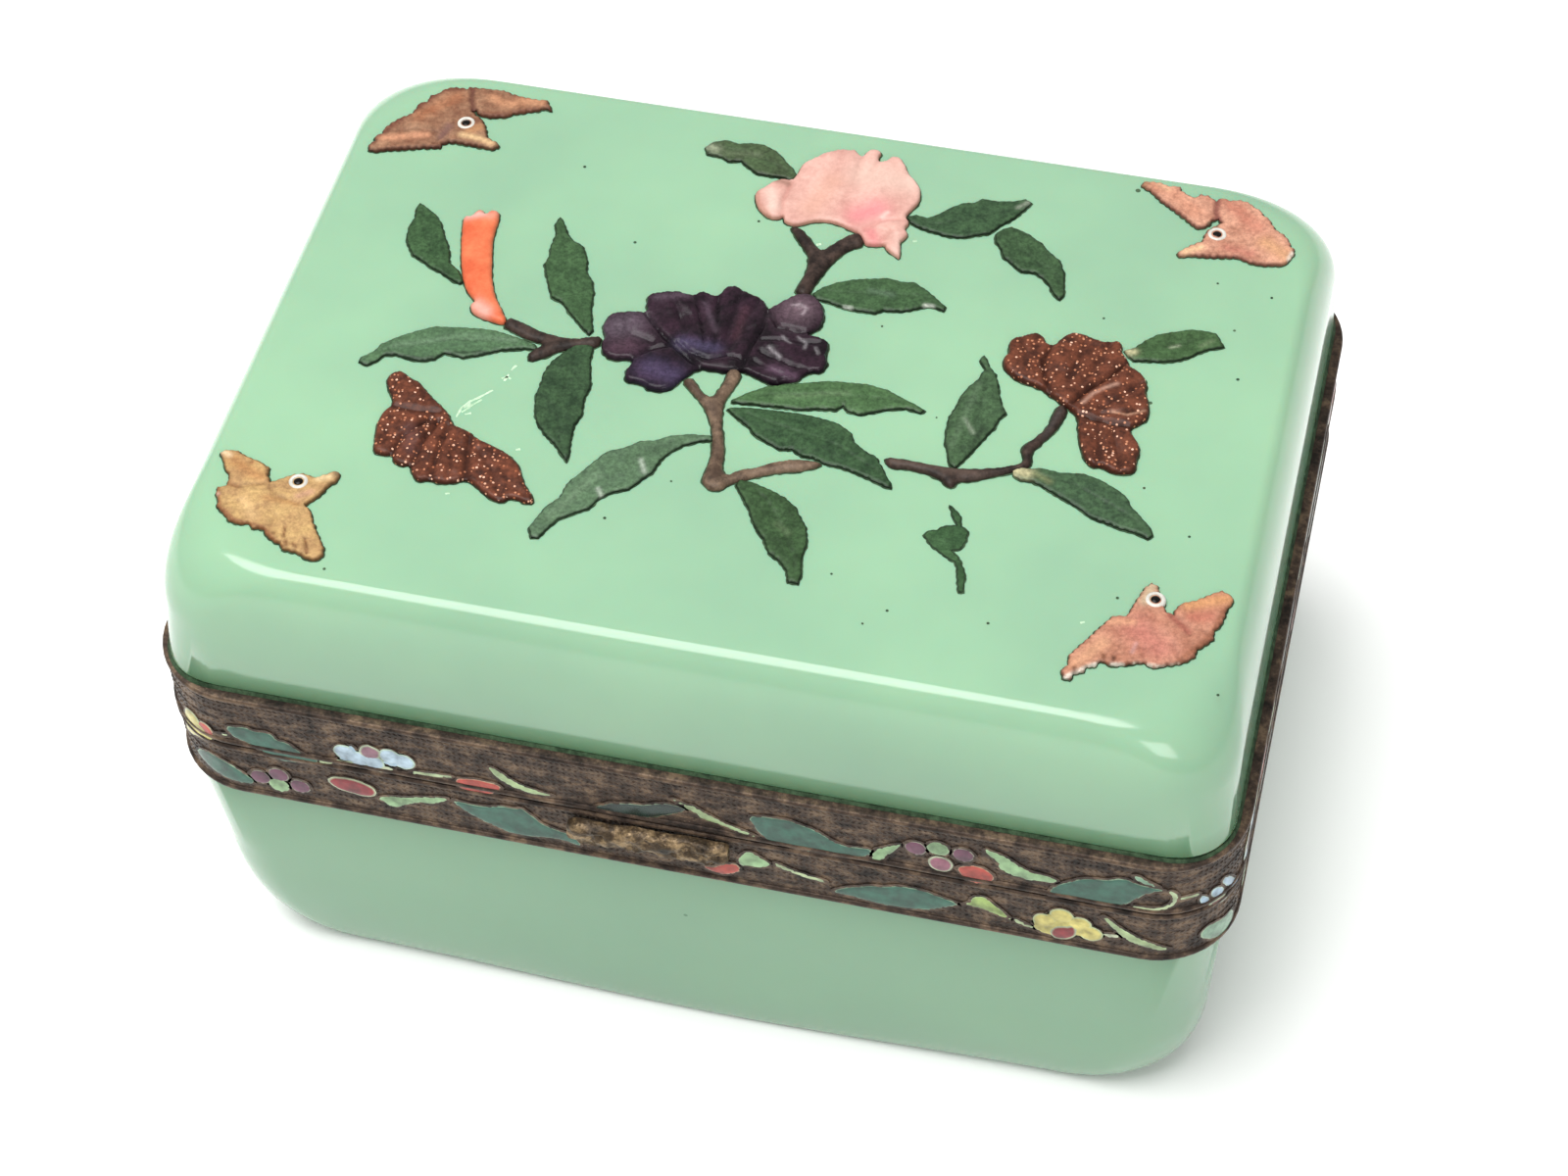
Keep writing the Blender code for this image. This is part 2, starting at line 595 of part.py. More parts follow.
def make_carving(name, drawing, thickness, material, group, parent):
    """A blossom, butterfly or bird from its outline, ridges and grooves."""
    carved = []
    for ridge in drawing["ridges"]:
        carved += [(point, 1.0) for point in line_points(ridge, relief_step)]
    for groove in drawing.get("grooves", []):
        carved += [(point, groove_share) for point in line_points(groove, relief_step)]
    return carve(name, [outline_points(drawing["outline"])], thickness, carved, material,
                 group, parent)


def disc(radius, height, floor, centre, sides=12):
    """An upright cylinder that stands at a place of the drawing."""
    shape = bmesh.new()
    bmesh.ops.create_cone(shape, cap_ends=True, segments=sides, radius1=radius, radius2=radius,
                          depth=height)
    middle = Vector((centre[0] * spray_x, (centre[1] - drawing_back) * spray_y,
                     floor + height / 2))
    bmesh.ops.translate(shape, vec=middle, verts=shape.verts)
    return shape


def make_birds(materials, eye_material, group, cutters, parent):
    for (name, drawing), material in zip(birds.items(), materials):
        bird = make_carving(name, drawing, bird_thickness, material, group, parent)
        socket = disc(eye_reach + fit_gap, 2 * bird_thickness + 2 * fit_gap,
                      spray_floor - fit_gap, drawing["eye"])
        cutter = add_solid(f"{name}_socket", socket, eye_material, cutters, parent)
        cutter.hide_render = True
        cutter.display_type = "WIRE"
        drill = bird.modifiers.new("eye socket", "BOOLEAN")
        drill.operation = "DIFFERENCE"
        drill.object = cutter
        eye = disc(eye_reach, bird_thickness + eye_stand, spray_floor, drawing["eye"])
        add_solid(f"{name}_eye", eye, eye_material, group, parent)


def build():
    clear_scene()
    group = make_collection("inlaid trinket box")
    cutters = make_collection("cutters")
    jade_glass = make_material("jade green glass", (0.40, 0.64, 0.41), 0.12)
    brass = make_material("darkened brass", (0.10, 0.065, 0.045), 0.55, 0.85)
    nephrite = make_material("green nephrite", (0.06, 0.13, 0.06), 0.4)
    twig_stone = make_material("brown twig stone", (0.09, 0.06, 0.05), 0.5)
    amethyst = make_material("amethyst", (0.09, 0.05, 0.08), 0.3)
    rose_stone = make_material("rose stone", (0.83, 0.52, 0.46), 0.35)
    goldstone = make_material("goldstone", (0.28, 0.09, 0.05), 0.3)
    coral_stone = make_material("coral", (0.93, 0.31, 0.14), 0.35)
    eye_shell = make_material("white shell", (0.75, 0.73, 0.68), 0.3)
    bird_stones = [
        make_material("brown soapstone", (0.34, 0.17, 0.10), 0.5),
        make_material("pink soapstone", (0.47, 0.21, 0.14), 0.5),
        make_material("honey soapstone", (0.55, 0.34, 0.15), 0.5),
        make_material("rosy soapstone", (0.45, 0.20, 0.14), 0.5),
    ]

    frame = bpy.data.objects.new("box_frame", None)
    frame.location.y = (fit_gap + thumb_depth) / 2
    group.objects.link(frame)
    make_base_glass(jade_glass, group, frame)
    lid = make_lid_glass(jade_glass, group, frame)
    make_rim("base_rim", rim_base, True, True, brass, group, frame)
    make_rim("lid_rim", lid_rim_base, False, False, brass, group, frame)
    make_thumb_bar(brass, group, frame)

    make_leaves(nephrite, group, lid)
    make_stems(twig_stone, group, lid)
    make_coral(coral_stone, group, lid)
    stones = {"amethyst_blossom": amethyst, "pink_blossom": rose_stone,
              "goldstone_blossom": goldstone, "butterfly": goldstone}
    for name, drawing in blossoms.items():
        thickness = butterfly_thickness if name == "butterfly" else blossom_thickness
        make_carving(name, drawing, thickness, stones[name], group, lid)
    make_birds(bird_stones, eye_shell, group, cutters, lid)


build()
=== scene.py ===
import math

import bpy
import numpy as np
from mathutils import Matrix, Vector, noise
from mathutils.geometry import delaunay_2d_cdt


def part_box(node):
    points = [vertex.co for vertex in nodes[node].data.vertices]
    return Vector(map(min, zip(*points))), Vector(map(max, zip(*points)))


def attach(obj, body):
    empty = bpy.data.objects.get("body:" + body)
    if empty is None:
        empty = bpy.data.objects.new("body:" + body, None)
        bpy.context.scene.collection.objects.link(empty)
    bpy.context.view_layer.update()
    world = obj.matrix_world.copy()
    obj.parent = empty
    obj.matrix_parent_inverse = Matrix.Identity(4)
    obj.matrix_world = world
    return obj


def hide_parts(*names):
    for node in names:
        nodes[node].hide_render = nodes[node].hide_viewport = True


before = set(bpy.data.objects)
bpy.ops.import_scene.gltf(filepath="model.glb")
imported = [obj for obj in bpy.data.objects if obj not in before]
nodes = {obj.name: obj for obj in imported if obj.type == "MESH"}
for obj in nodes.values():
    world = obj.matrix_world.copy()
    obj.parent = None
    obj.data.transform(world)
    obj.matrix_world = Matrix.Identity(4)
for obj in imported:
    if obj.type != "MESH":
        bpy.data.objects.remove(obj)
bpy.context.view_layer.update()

# Sizes here are in millimetres, and makePiece turns them into metres.
# The plan of the box and the heights at which its parts meet, as in the CAD.
box = {
    "length": 115.0, "width": 83.5, "corner": 9.1, "middleY": 0.9,
    "rimBase": 32.0, "rimHeight": 8.05, "lidRimBase": 40.35, "rimTop": 48.4, "glassTop": 65.1,
}
# From the sheet of drawing, on which the inlay is traced, to the box
drawing = {"scaleX": 1.00124, "scaleY": 1.00178, "shiftY": -0.3}


# sRGB hex to the linear numbers that a shader wants
def linearColour(hexColour):
    parts = [int(hexColour[i:i + 2], 16) / 255 for i in (1, 3, 5)]
    return (*[p / 12.92 if p <= 0.04045 else ((p + 0.055) / 1.055) ** 2.4 for p in parts], 1.0)


# Adds a node with its settings. A socket among the inputs is linked, a ramp is [(place, hex)].
def addNode(tree, kind, inputs=None, ramp=None, **settings):
    node = tree.nodes.new(kind)
    for key, value in settings.items():
        setattr(node, key, value)
    for key, value in (inputs or {}).items():
        if isinstance(value, bpy.types.NodeSocket):
            tree.links.new(value, node.inputs[key])
        else:
            node.inputs[key].default_value = value
    if ramp:
        stops = node.color_ramp.elements
        while len(stops) < len(ramp):
            stops.new(1.0)
        for stop, (place, colour) in zip(stops, ramp):
            stop.position = place
            stop.color = linearColour(colour)
    return node


def startMaterial(name, **sockets):
    material = bpy.data.materials.new(name)
    material.use_nodes = True
    tree = material.node_tree
    shader = tree.nodes["Principled BSDF"]
    for key, value in sockets.items():
        shader.inputs[key.replace("_", " ")].default_value = value
    place = addNode(tree, "ShaderNodeTexCoord").outputs["Object"]
    return material, tree, shader, place


def addBump(tree, shader, height, strength, distance):
    bump = addNode(tree, "ShaderNodeBump", {"Height": height, "Strength": strength,
                                            "Distance": distance * 0.001})
    tree.links.new(bump.outputs["Normal"], shader.inputs["Normal"])


# The scale of a texture whose cells are so many millimetres across
def patternScale(millimetres):
    return 1000.0 / millimetres


# Sizes in millimetres. The specks are as coarse as they need to be to show in the render.
glassLook = {
    "dark": "#7fa387", "light": "#89af8e", "clouds": 26.32, "ripple": 11.11,
    "speck": "#41583f", "speckSpacing": 6.667, "speckReach": 0.045, "speckRarity": 0.82,
    "paintedRimShade": "#53764f", "shadeLow": 48.2, "shadeHigh": 51.5, "shadeFloor": 45.0,
    "paintedWallShade": "#5f8468", "wallLow": 47.0, "wallHigh": 62.0,
}


# Pressed opal glass, cased milky green: soft cloudy depth, wet gloss, a few pits and ash specks,
# painted shade, greyer, down the lid's wall and over the base, and darker green painted shade close
# above the rim
def makeGlassMaterial():
    material, tree, shader, place = startMaterial(
        "pressed opal glass", Roughness=0.13, IOR=1.5, Subsurface_Weight=0.25,
        Subsurface_Scale=0.004)
    clouds = addNode(tree, "ShaderNodeTexNoise", {
        "Vector": place, "Scale": patternScale(glassLook["clouds"]), "Detail": 3.0})
    body = addNode(tree, "ShaderNodeValToRGB", {"Fac": clouds.outputs["Fac"]},
                   ramp=[(0.3, glassLook["dark"]), (0.7, glassLook["light"])])
    specks = addNode(tree, "ShaderNodeTexVoronoi", {
        "Vector": place, "Scale": patternScale(glassLook["speckSpacing"])})
    dark = addNode(tree, "ShaderNodeMath", {
        0: specks.outputs["Distance"], 1: glassLook["speckReach"]}, operation="LESS_THAN")
    rare = addNode(tree, "ShaderNodeSeparateColor", {"Color": specks.outputs["Color"]})
    chosen = addNode(tree, "ShaderNodeMath", {
        0: rare.outputs["Red"], 1: glassLook["speckRarity"]}, operation="GREATER_THAN")
    both = addNode(tree, "ShaderNodeMath", {0: dark.outputs[0], 1: chosen.outputs[0]},
                   operation="MULTIPLY")
    specked = addNode(tree, "ShaderNodeMix", {
        0: both.outputs[0], 6: body.outputs["Color"], 7: linearColour(glassLook["speck"])},
        data_type="RGBA")
    height = addNode(tree, "ShaderNodeSeparateXYZ", {"Vector": place})
    # Painted shade: darker green just above the rim, on the lid only
    nearRim = addNode(tree, "ShaderNodeMapRange", {
        "Value": height.outputs["Z"], "From Min": glassLook["shadeLow"] * 0.001,
        "From Max": glassLook["shadeHigh"] * 0.001,
        "To Min": 0.75, "To Max": 0.0})
    onLidWall = addNode(tree, "ShaderNodeMath", {
        0: height.outputs["Z"], 1: glassLook["shadeFloor"] * 0.001}, operation="GREATER_THAN")
    shade = addNode(tree, "ShaderNodeMath", {0: nearRim.outputs[0], 1: onLidWall.outputs[0]},
                    operation="MULTIPLY")
    # Painted shade: greyer and darker down the lid's wall, and over the whole base
    lower = addNode(tree, "ShaderNodeMapRange", {
        "Value": height.outputs["Z"], "From Min": glassLook["wallLow"] * 0.001,
        "From Max": glassLook["wallHigh"] * 0.001,
        "To Min": 0.62, "To Max": 0.0})
    wall = addNode(tree, "ShaderNodeMix", {
        0: lower.outputs[0], 6: specked.outputs[2], 7: linearColour(glassLook["paintedWallShade"])},
        data_type="RGBA")
    shaded = addNode(tree, "ShaderNodeMix", {
        0: shade.outputs[0], 6: wall.outputs[2], 7: linearColour(glassLook["paintedRimShade"])},
        data_type="RGBA")
    tree.links.new(shaded.outputs[2], shader.inputs["Base Color"])
    ripple = addNode(tree, "ShaderNodeTexNoise", {
        "Vector": place, "Scale": patternScale(glassLook["ripple"]), "Detail": 1.0})
    addBump(tree, shader, ripple.outputs["Fac"], 0.12, 0.4)
    return material


# Sizes in millimetres: the blotches of patina, drawn out sideways, and the grit of the casting
brassLook = {"patina": 2.381, "drawnOut": (1.0, 1.0, 1.6), "grit": 0.3846, "dullest": 0.62}


# Oxidised brass: nearly black brown in the hollows, rubbed paler in streaks where hands touch
def makeBrassMaterial(name, ramp, smooth, gritDepth):
    material, tree, shader, place = startMaterial(name, Metallic=0.4, Specular_IOR_Level=0.3)
    drawnOut = addNode(tree, "ShaderNodeVectorMath", {0: place, 1: brassLook["drawnOut"]},
                       operation="MULTIPLY").outputs[0]
    patina = addNode(tree, "ShaderNodeTexNoise", {
        "Vector": drawnOut, "Scale": patternScale(brassLook["patina"]), "Detail": 6.0,
        "Roughness": 0.7})
    body = addNode(tree, "ShaderNodeValToRGB", {"Fac": patina.outputs["Fac"]}, ramp=ramp)
    tree.links.new(body.outputs["Color"], shader.inputs["Base Color"])
    dull = addNode(tree, "ShaderNodeMapRange", {
        "Value": patina.outputs["Fac"], "To Min": brassLook["dullest"], "To Max": smooth})
    tree.links.new(dull.outputs[0], shader.inputs["Roughness"])
    grit = addNode(tree, "ShaderNodeTexNoise", {
        "Vector": place, "Scale": patternScale(brassLook["grit"]), "Detail": 2.0})
    addBump(tree, shader, grit.outputs["Fac"], 0.5, gritDepth)
    return material


stoneLook = {"mottle": 0.4167, "edgeShare": 0.9}  # the mottle's grain is in millimetres


# A carved stone: two tones clouded into each other under the piece's own tone, then darker along
# its outline, the listed patches and the painted shade along the cuts, and a fine grain over all of
# it
def makeStoneMaterial(name, dark, light, cloudSize, roughness=0.45, edge=None, edgeWidth=0.5,
                      grainDepth=0.05, contrast=0.22):
    material, tree, shader, place = startMaterial(name, Roughness=roughness,
                                                  Specular_IOR_Level=0.14)
    clouds = addNode(tree, "ShaderNodeTexNoise", {"Vector": place, "Scale": patternScale(cloudSize),
                                                  "Detail": 6.0, "Roughness": 0.65})
    colour = addNode(tree, "ShaderNodeValToRGB", {"Fac": clouds.outputs["Fac"]},
                     ramp=[(0.38, dark), (0.62, light)]).outputs["Color"]
    tone = addNode(tree, "ShaderNodeAttribute", attribute_name="tone")
    colour = addNode(tree, "ShaderNodeMix", {0: tone.outputs["Alpha"], 6: colour,
                                             7: tone.outputs["Color"]},
                     data_type="RGBA").outputs[2]
    if edge:
        reach = addNode(tree, "ShaderNodeAttribute", attribute_name="edge")
        share = addNode(tree, "ShaderNodeMapRange", {
            "Value": reach.outputs["Fac"], "From Max": edgeWidth,
            "To Min": stoneLook["edgeShare"], "To Max": 0.0})
        colour = addNode(tree, "ShaderNodeMix", {0: share.outputs[0], 6: colour,
                                                 7: linearColour(edge)},
                         data_type="RGBA").outputs[2]
    patch = addNode(tree, "ShaderNodeAttribute", attribute_name="patch")
    colour = addNode(tree, "ShaderNodeMix", {0: patch.outputs["Alpha"], 6: colour,
                                             7: patch.outputs["Color"]},
                     data_type="RGBA").outputs[2]
    mottle = addNode(tree, "ShaderNodeTexNoise", {
        "Vector": place, "Scale": patternScale(stoneLook["mottle"]), "Detail": 4.0,
        "Roughness": 0.7})
    veil = addNode(tree, "ShaderNodeMapRange", {
        "Value": mottle.outputs["Fac"], "From Min": 0.35, "From Max": 0.65,
        "To Min": 1.0 - contrast, "To Max": 1.0 + contrast})
    mixed = addNode(tree, "ShaderNodeMix", {0: 1.0, 6: colour, 7: veil.outputs[0]},
                    data_type="RGBA", blend_type="MULTIPLY")
    tree.links.new(mixed.outputs[2], shader.inputs["Base Color"])
    addBump(tree, shader, mottle.outputs["Fac"], 0.4, grainDepth)
    return material


# The flakes' spacing is in millimetres, and a spark is about 0.2 mm across
sparkLook = {"spacing": 0.3704, "rarity": 0.66, "reach": 0.36}


# Goldstone: dull brown glass with thin sparks of copper in it
def makeGoldstoneMaterial():
    material = makeStoneMaterial("goldstone", "#3a1f16", "#653827", 1.6, 0.35, "#3a1d15", 0.25)
    tree = material.node_tree
    shader = tree.nodes["Principled BSDF"]
    place = addNode(tree, "ShaderNodeTexCoord").outputs["Object"]
    flakes = addNode(tree, "ShaderNodeTexVoronoi", {
        "Vector": place, "Scale": patternScale(sparkLook["spacing"])})
    pick = addNode(tree, "ShaderNodeSeparateColor", {"Color": flakes.outputs["Color"]})
    chosen = addNode(tree, "ShaderNodeMath", {
        0: pick.outputs["Red"], 1: sparkLook["rarity"]}, operation="GREATER_THAN")
    small = addNode(tree, "ShaderNodeMath", {
        0: flakes.outputs["Distance"], 1: sparkLook["reach"]}, operation="LESS_THAN")
    bright = addNode(tree, "ShaderNodeMath", {0: chosen.outputs[0], 1: small.outputs[0]},
                     operation="MULTIPLY")
    before = shader.inputs["Base Color"].links[0].from_socket
    glitter = addNode(tree, "ShaderNodeValToRGB", {"Fac": pick.outputs["Green"]},
                      ramp=[(0.0, "#8f5338"), (0.6, "#b27a5c"), (1.0, "#dcb29a")])
    mixed = addNode(tree, "ShaderNodeMix", {0: bright.outputs[0], 6: before,
                                            7: glitter.outputs["Color"]}, data_type="RGBA")
    tree.links.new(mixed.outputs[2], shader.inputs["Base Color"])
    return material


# The clouds in a pool are in millimetres, and a pale painted highlight runs round each pool's edge
enamelLook = {"clouds": 1.4286, "edgeHighlight": "#9fb492", "highlightFrom": 0.08, "highlightTo": 0.3}


# Fired enamel: glassy colour that pools darker in the middle, with a pale painted highlight at the
# edge
def makeEnamelMaterial():
    material, tree, shader, place = startMaterial("fired enamel", Roughness=0.25,
                                                  Specular_IOR_Level=0.35)
    tint = addNode(tree, "ShaderNodeAttribute", attribute_name="tone")
    pool = addNode(tree, "ShaderNodeTexNoise", {
        "Vector": place, "Scale": patternScale(enamelLook["clouds"]), "Detail": 4.0})
    veil = addNode(tree, "ShaderNodeMapRange", {"Value": pool.outputs["Fac"], "From Min": 0.3,
                                                "From Max": 0.7, "To Min": 0.5, "To Max": 1.35})
    # Pale painted highlight along the edge of each pool
    reach = addNode(tree, "ShaderNodeAttribute", attribute_name="edge")
    edgeHighlight = addNode(tree, "ShaderNodeMapRange", {
        "Value": reach.outputs["Fac"], "From Min": enamelLook["highlightFrom"],
        "From Max": enamelLook["highlightTo"], "To Min": 0.75, "To Max": 0.0})
    highlighted = addNode(tree, "ShaderNodeMix", {0: edgeHighlight.outputs[0], 6: tint.outputs["Color"],
                                            7: linearColour(enamelLook["edgeHighlight"])},
                    data_type="RGBA")
    shade = addNode(tree, "ShaderNodeMix", {0: 1.0, 6: highlighted.outputs[2],
                                            7: veil.outputs[0]},
                    data_type="RGBA", blend_type="MULTIPLY")
    tree.links.new(shade.outputs[2], shader.inputs["Base Color"])
    addBump(tree, shader, pool.outputs["Fac"], 0.3, 0.1)
    return material


# What each gives the eye: milky depth for the glass, sooty brown for the stamped brass and a
# rubbed glint for the casting, a dull pale scrape for the bruises
finishes = {
    "glass": makeGlassMaterial(),
    "brass": makeBrassMaterial("oxidised brass", [(0.36, "#1a130e"), (0.5, "#3f3229"),
                                                  (0.64, "#6a5745")], 0.38, 0.12),
    "casting": makeBrassMaterial("worn cast brass", [(0.34, "#14100b"), (0.5, "#4a3c2b"),
                                                     (0.62, "#8b7556")], 0.25, 0.2),
    "chip": makeStoneMaterial("bruised glass", "#9cbc9a", "#b8ceb2", 1.0),
    # Glassy pools of colour, copper sparks, and dark waxy green with nearly black edges
    "enamel": makeEnamelMaterial(),
    "goldstone": makeGoldstoneMaterial(),
    "nephrite": makeStoneMaterial("spinach nephrite", "#1b2e1b", "#4c6b45", 1.6, 0.35,
                                  "#141d13", 0.16, contrast=0.3),
    # Dull sooty and brown twigs, and a bright smooth orange bar
    "twig": makeStoneMaterial("smoky agate", "#1f1815", "#3f322c", 1.6),
    "branch": makeStoneMaterial("brown agate", "#46382d", "#74604f", 1.8),
    "coral": makeStoneMaterial("orange coral", "#bd5738", "#cf6f4b", 3.0, 0.35, contrast=0.06),
    # A nearly black purple with a gloss, and a pale pink going darker along its outline
    "amethyst": makeStoneMaterial("dark amethyst", "#140d12", "#2c1c26", 2.4, 0.25, "#120b12", 0.2,
                                  contrast=0.3),
    "rose": makeStoneMaterial("rose quartz", "#b4877c", "#c99f93", 3.0, 0.35, "#a87868", 0.14,
                              contrast=0.07),
    # Matt, cloudy soapstones going browner along the outline, one tone for each bird
    "brownBird": makeStoneMaterial("brown soapstone", "#6b4634", "#8d6a52", 2.0, 0.5,
                                   "#3c2018", 0.3),
    "pinkBird": makeStoneMaterial("pink soapstone", "#9c6c58", "#bb8b74", 2.0, 0.5,
                                  "#5a352c", 0.28),
    "honeyBird": makeStoneMaterial("honey soapstone", "#977650", "#b0905f", 2.0, 0.5,
                                   "#5c3e26", 0.24),
    "rosyBird": makeStoneMaterial("rosy soapstone", "#94634f", "#ab7a64", 2.0, 0.5,
                                  "#613c2d", 0.24),
    # Chalky white rings, wet black beads, and dark green setting cement, also laid as painted
    # shadow in the gap where the glass enters each rim
    "shell": makeStoneMaterial("white shell", "#b4b1a8", "#c9c6be", 1.0, 0.35, contrast=0.06),
    "pupil": makeStoneMaterial("black glass bead", "#0b0a09", "#14110f", 1.0, 0.15),
    "cementAndGapShadow": makeStoneMaterial("aged cement and gap shadow", "#20301f", "#3d523a", 1.2, 0.5),
}
print("materials ready")


# Points in millimetres become an object in metres that rides on the box
def makePiece(name, points, faces, finish, sharpAngle=40.0, replaced=(), values=None):
    mesh = bpy.data.meshes.new(name)
    mesh.from_pydata([tuple(p * 0.001 for p in point) for point in points], [], faces)
    mesh.update()
    mesh.shade_smooth()
    mesh.set_sharp_from_angle(angle=math.radians(sharpAngle))
    mesh.materials.append(finishes[finish])
    blank = {"edge": np.full(len(points), 4.0), "tone": np.zeros((len(points), 4)),
             "patch": np.zeros((len(points), 4))}
    for key, column in {**blank, **(values or {})}.items():
        column = np.asarray(column, np.float32)
        if column.ndim == 1:
            mesh.attributes.new(key, "FLOAT", "POINT").data.foreach_set("value", column)
        else:
            mesh.attributes.new(key, "FLOAT_COLOR", "POINT").data.foreach_set(
                "color", column.ravel())
    piece = bpy.data.objects.new(name, mesh)
    bpy.context.scene.collection.objects.link(piece)
    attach(piece, "root")
    if replaced:
        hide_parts(*replaced)
    return piece


# A ring round the box, inset from the rims' outline, with sides that may bow outwards
def ringAt(inset, corner, height, bow=0.0, cornerSteps=14, sideSteps=24):
    halfX, halfY = box["length"] / 2 - inset - corner, box["width"] / 2 - inset - corner
    signs = ((1, 1), (-1, 1), (-1, -1), (1, -1))
    ring = []
    for quarter, (signX, signY) in enumerate(signs):
        centre = Vector((signX * halfX, signY * halfY))
        for step in range(cornerSteps + 1):
            angle = (quarter + step / cornerSteps) * math.pi / 2
            ring.append(centre + corner * Vector((math.cos(angle), math.sin(angle))))
        nextX, nextY = signs[(quarter + 1) % 4]
        end = Vector((nextX * halfX, nextY * halfY))
        turned = (quarter + 1) * math.pi / 2
        outward = Vector((math.cos(turned), math.sin(turned)))
        for step in range(1, sideSteps):
            share = step / sideSteps
            swell = bow * (1 - (2 * share - 1) ** 2) ** 2
            ring.append(centre.lerp(end, share) + outward * (corner + swell))
    return [(p.x, p.y + box["middleY"], height) for p in ring]


# Skins rings that follow each other from a closed first one, out and back to a closed last one
def loftRings(rings, closed=False):
    size = len(rings[0])
    points = [point for ring in rings for point in ring]
    faces = []
    rows = len(rings)
    for row in range(rows if closed else rows - 1):
        here, there = row * size, (row + 1) % rows * size
        for i in range(size):
            j = (i + 1) % size
            faces.append((here + i, here + j, there + j, there + i))
    if not closed:
        faces.append(tuple(range(size))[::-1])
        faces.append(tuple(range((rows - 1) * size, rows * size)))
    return points, faces


# Turns the faces of a closed shape over where they point inwards
def faceOutwards(points, faces):
    volume = 0.0
    for face in faces:
        a = Vector(points[face[0]])
        for i in range(1, len(face) - 1):
            volume += a.dot(Vector(points[face[i]]).cross(Vector(points[face[i + 1]])))
    return faces if volume > 0 else [face[::-1] for face in faces]


glass = {
    "wall": 3.5, "inset": 1.35, "channelInset": 1.55, "innerInset": 5.05, "corner": 6.2,
    "cornerGrowth": 2.35, "baseFoot": 17.0, "baseFloor": 4.0, "baseSide": 2.025,
    "footInset": 3.1, "footBow": 1.2, "baseSeat": 38.65, "lidWall": 7.7, "lidSide": 1.735,
    "shoulder": 9.0, "shoulderInset": 3.4, "roof": 3.6, "lidSeat": 41.75, "roundSteps": 18,
    "innerSteps": 10, "rimGap": 0.6, "closing": (8.0, 1.0),
}


# Places (inset, height) along a quarter of an ellipse
def quarterRound(inset, height, run, rise, steps):
    turns = [step / steps * math.pi / 2 for step in range(1, steps + 1)]
    return [(inset + run * (1 - math.cos(t)), height + rise * math.sin(t)) for t in turns]


# One hollow glass half, from its flat end down the outside, over the mouth and up the inside
def glassHalf(name, outer, inner, seat, mouth, bowShare):
    channelCorner = box["corner"] - glass["channelInset"]
    rings = []
    first = outer[0]
    for inward in glass["closing"]:
        corner = glass["corner"] + glass["cornerGrowth"] * (first[0] - glass["inset"])
        rings.append(ringAt(first[0] + inward, corner, first[1],
                            bowShare * (first[0] - glass["inset"])))
    for inset, height in outer:
        corner = glass["corner"] + glass["cornerGrowth"] * max(0.0, inset - glass["inset"])
        rings.append(ringAt(inset, corner, height, bowShare * (inset - glass["inset"])))
    for height in (mouth, seat):
        rings.append(ringAt(glass["channelInset"], channelCorner, height))
    for inset, height in inner:
        corner = channelCorner - glass["wall"] + glass["cornerGrowth"] * (
            inset - glass["innerInset"])
        rings.append(ringAt(inset, corner, height))
    points, faces = loftRings(rings)
    return makePiece(name, points, faceOutwards(points, faces), "glass", 50.0,
                     (name.replace("Shell", "_glass"),))


def makeGlass():
    foot = quarterRound(glass["baseSide"], glass["baseFoot"], glass["footInset"],
                        -glass["baseFoot"], glass["roundSteps"])
    outer = foot[::-1] + [(glass["baseSide"], glass["baseFoot"]),
                          (glass["inset"], box["rimBase"] - glass["rimGap"])]
    side = glass["innerInset"] + glass["baseSide"] - glass["inset"]
    inner = [(glass["innerInset"], glass["baseSeat"]), (side, glass["baseFoot"])]
    inner += quarterRound(side, glass["baseFoot"], glass["footInset"],
                          glass["baseFloor"] - glass["baseFoot"], glass["innerSteps"])
    spread = glass["footBow"] / (glass["baseSide"] + glass["footInset"] - glass["inset"])
    glassHalf("baseShell", outer, inner, glass["baseSeat"], box["rimBase"], spread)

    bend = box["rimTop"] + glass["lidWall"]
    outer = quarterRound(glass["lidSide"], bend, glass["shoulderInset"], glass["shoulder"],
                         glass["roundSteps"])[::-1]
    outer += [(glass["lidSide"], bend), (glass["inset"], box["rimTop"] + glass["rimGap"])]
    side = glass["innerInset"] + glass["lidSide"] - glass["inset"]
    inner = [(glass["innerInset"], glass["lidSeat"]), (side, bend)]
    inner += quarterRound(side, bend, glass["shoulderInset"],
                          glass["shoulder"] - glass["roof"], glass["innerSteps"])
    glassHalf("lidShell", outer, inner, glass["lidSeat"], box["rimTop"], 0.0)


seat = {"outer": 1.05, "inner": 1.5, "slope": 0.2, "rise": 0.3, "sunk": 0.03}


# A dark strip of cement where the glass enters each rim, standing as painted shadow in the gap
def makeSeatShadows():
    points, faces = [], []
    for height, way in ((box["rimTop"], 1), (box["rimBase"], -1)):
        corner = glass["corner"] + glass["inset"]
        rings = [ringAt(inset, corner - inset, height + way * rise) for inset, rise in (
            (seat["outer"], seat["sunk"]), (seat["inner"] - seat["slope"], seat["rise"]),
            (seat["inner"], seat["rise"]), (seat["inner"], seat["sunk"]))]
        part, partFaces = loftRings(rings, closed=True)
        partFaces = faceOutwards(part, partFaces)
        faces += [tuple(v + len(points) for v in face) for face in partFaces]
        points += part
    makePiece("seatGapShadow", points, faces, "cementAndGapShadow", 40.0)


rim = {
    "wall": 1.25, "bead": 0.3, "beadHeight": 0.75, "beadSteps": 8, "flange": 1.1,
    "flangeInset": 5.35, "lipInset": 5.65, "lipWidth": 1.0, "lipHeight": 1.8,
    "grainPitch": 0.62, "grainRows": 9, "grainSize": 0.27, "grainDepth": 0.12, "grainTurn": 34.0,
    "grainTip": 0.06, "cornerSteps": 12, "sideSteps": 40,
}


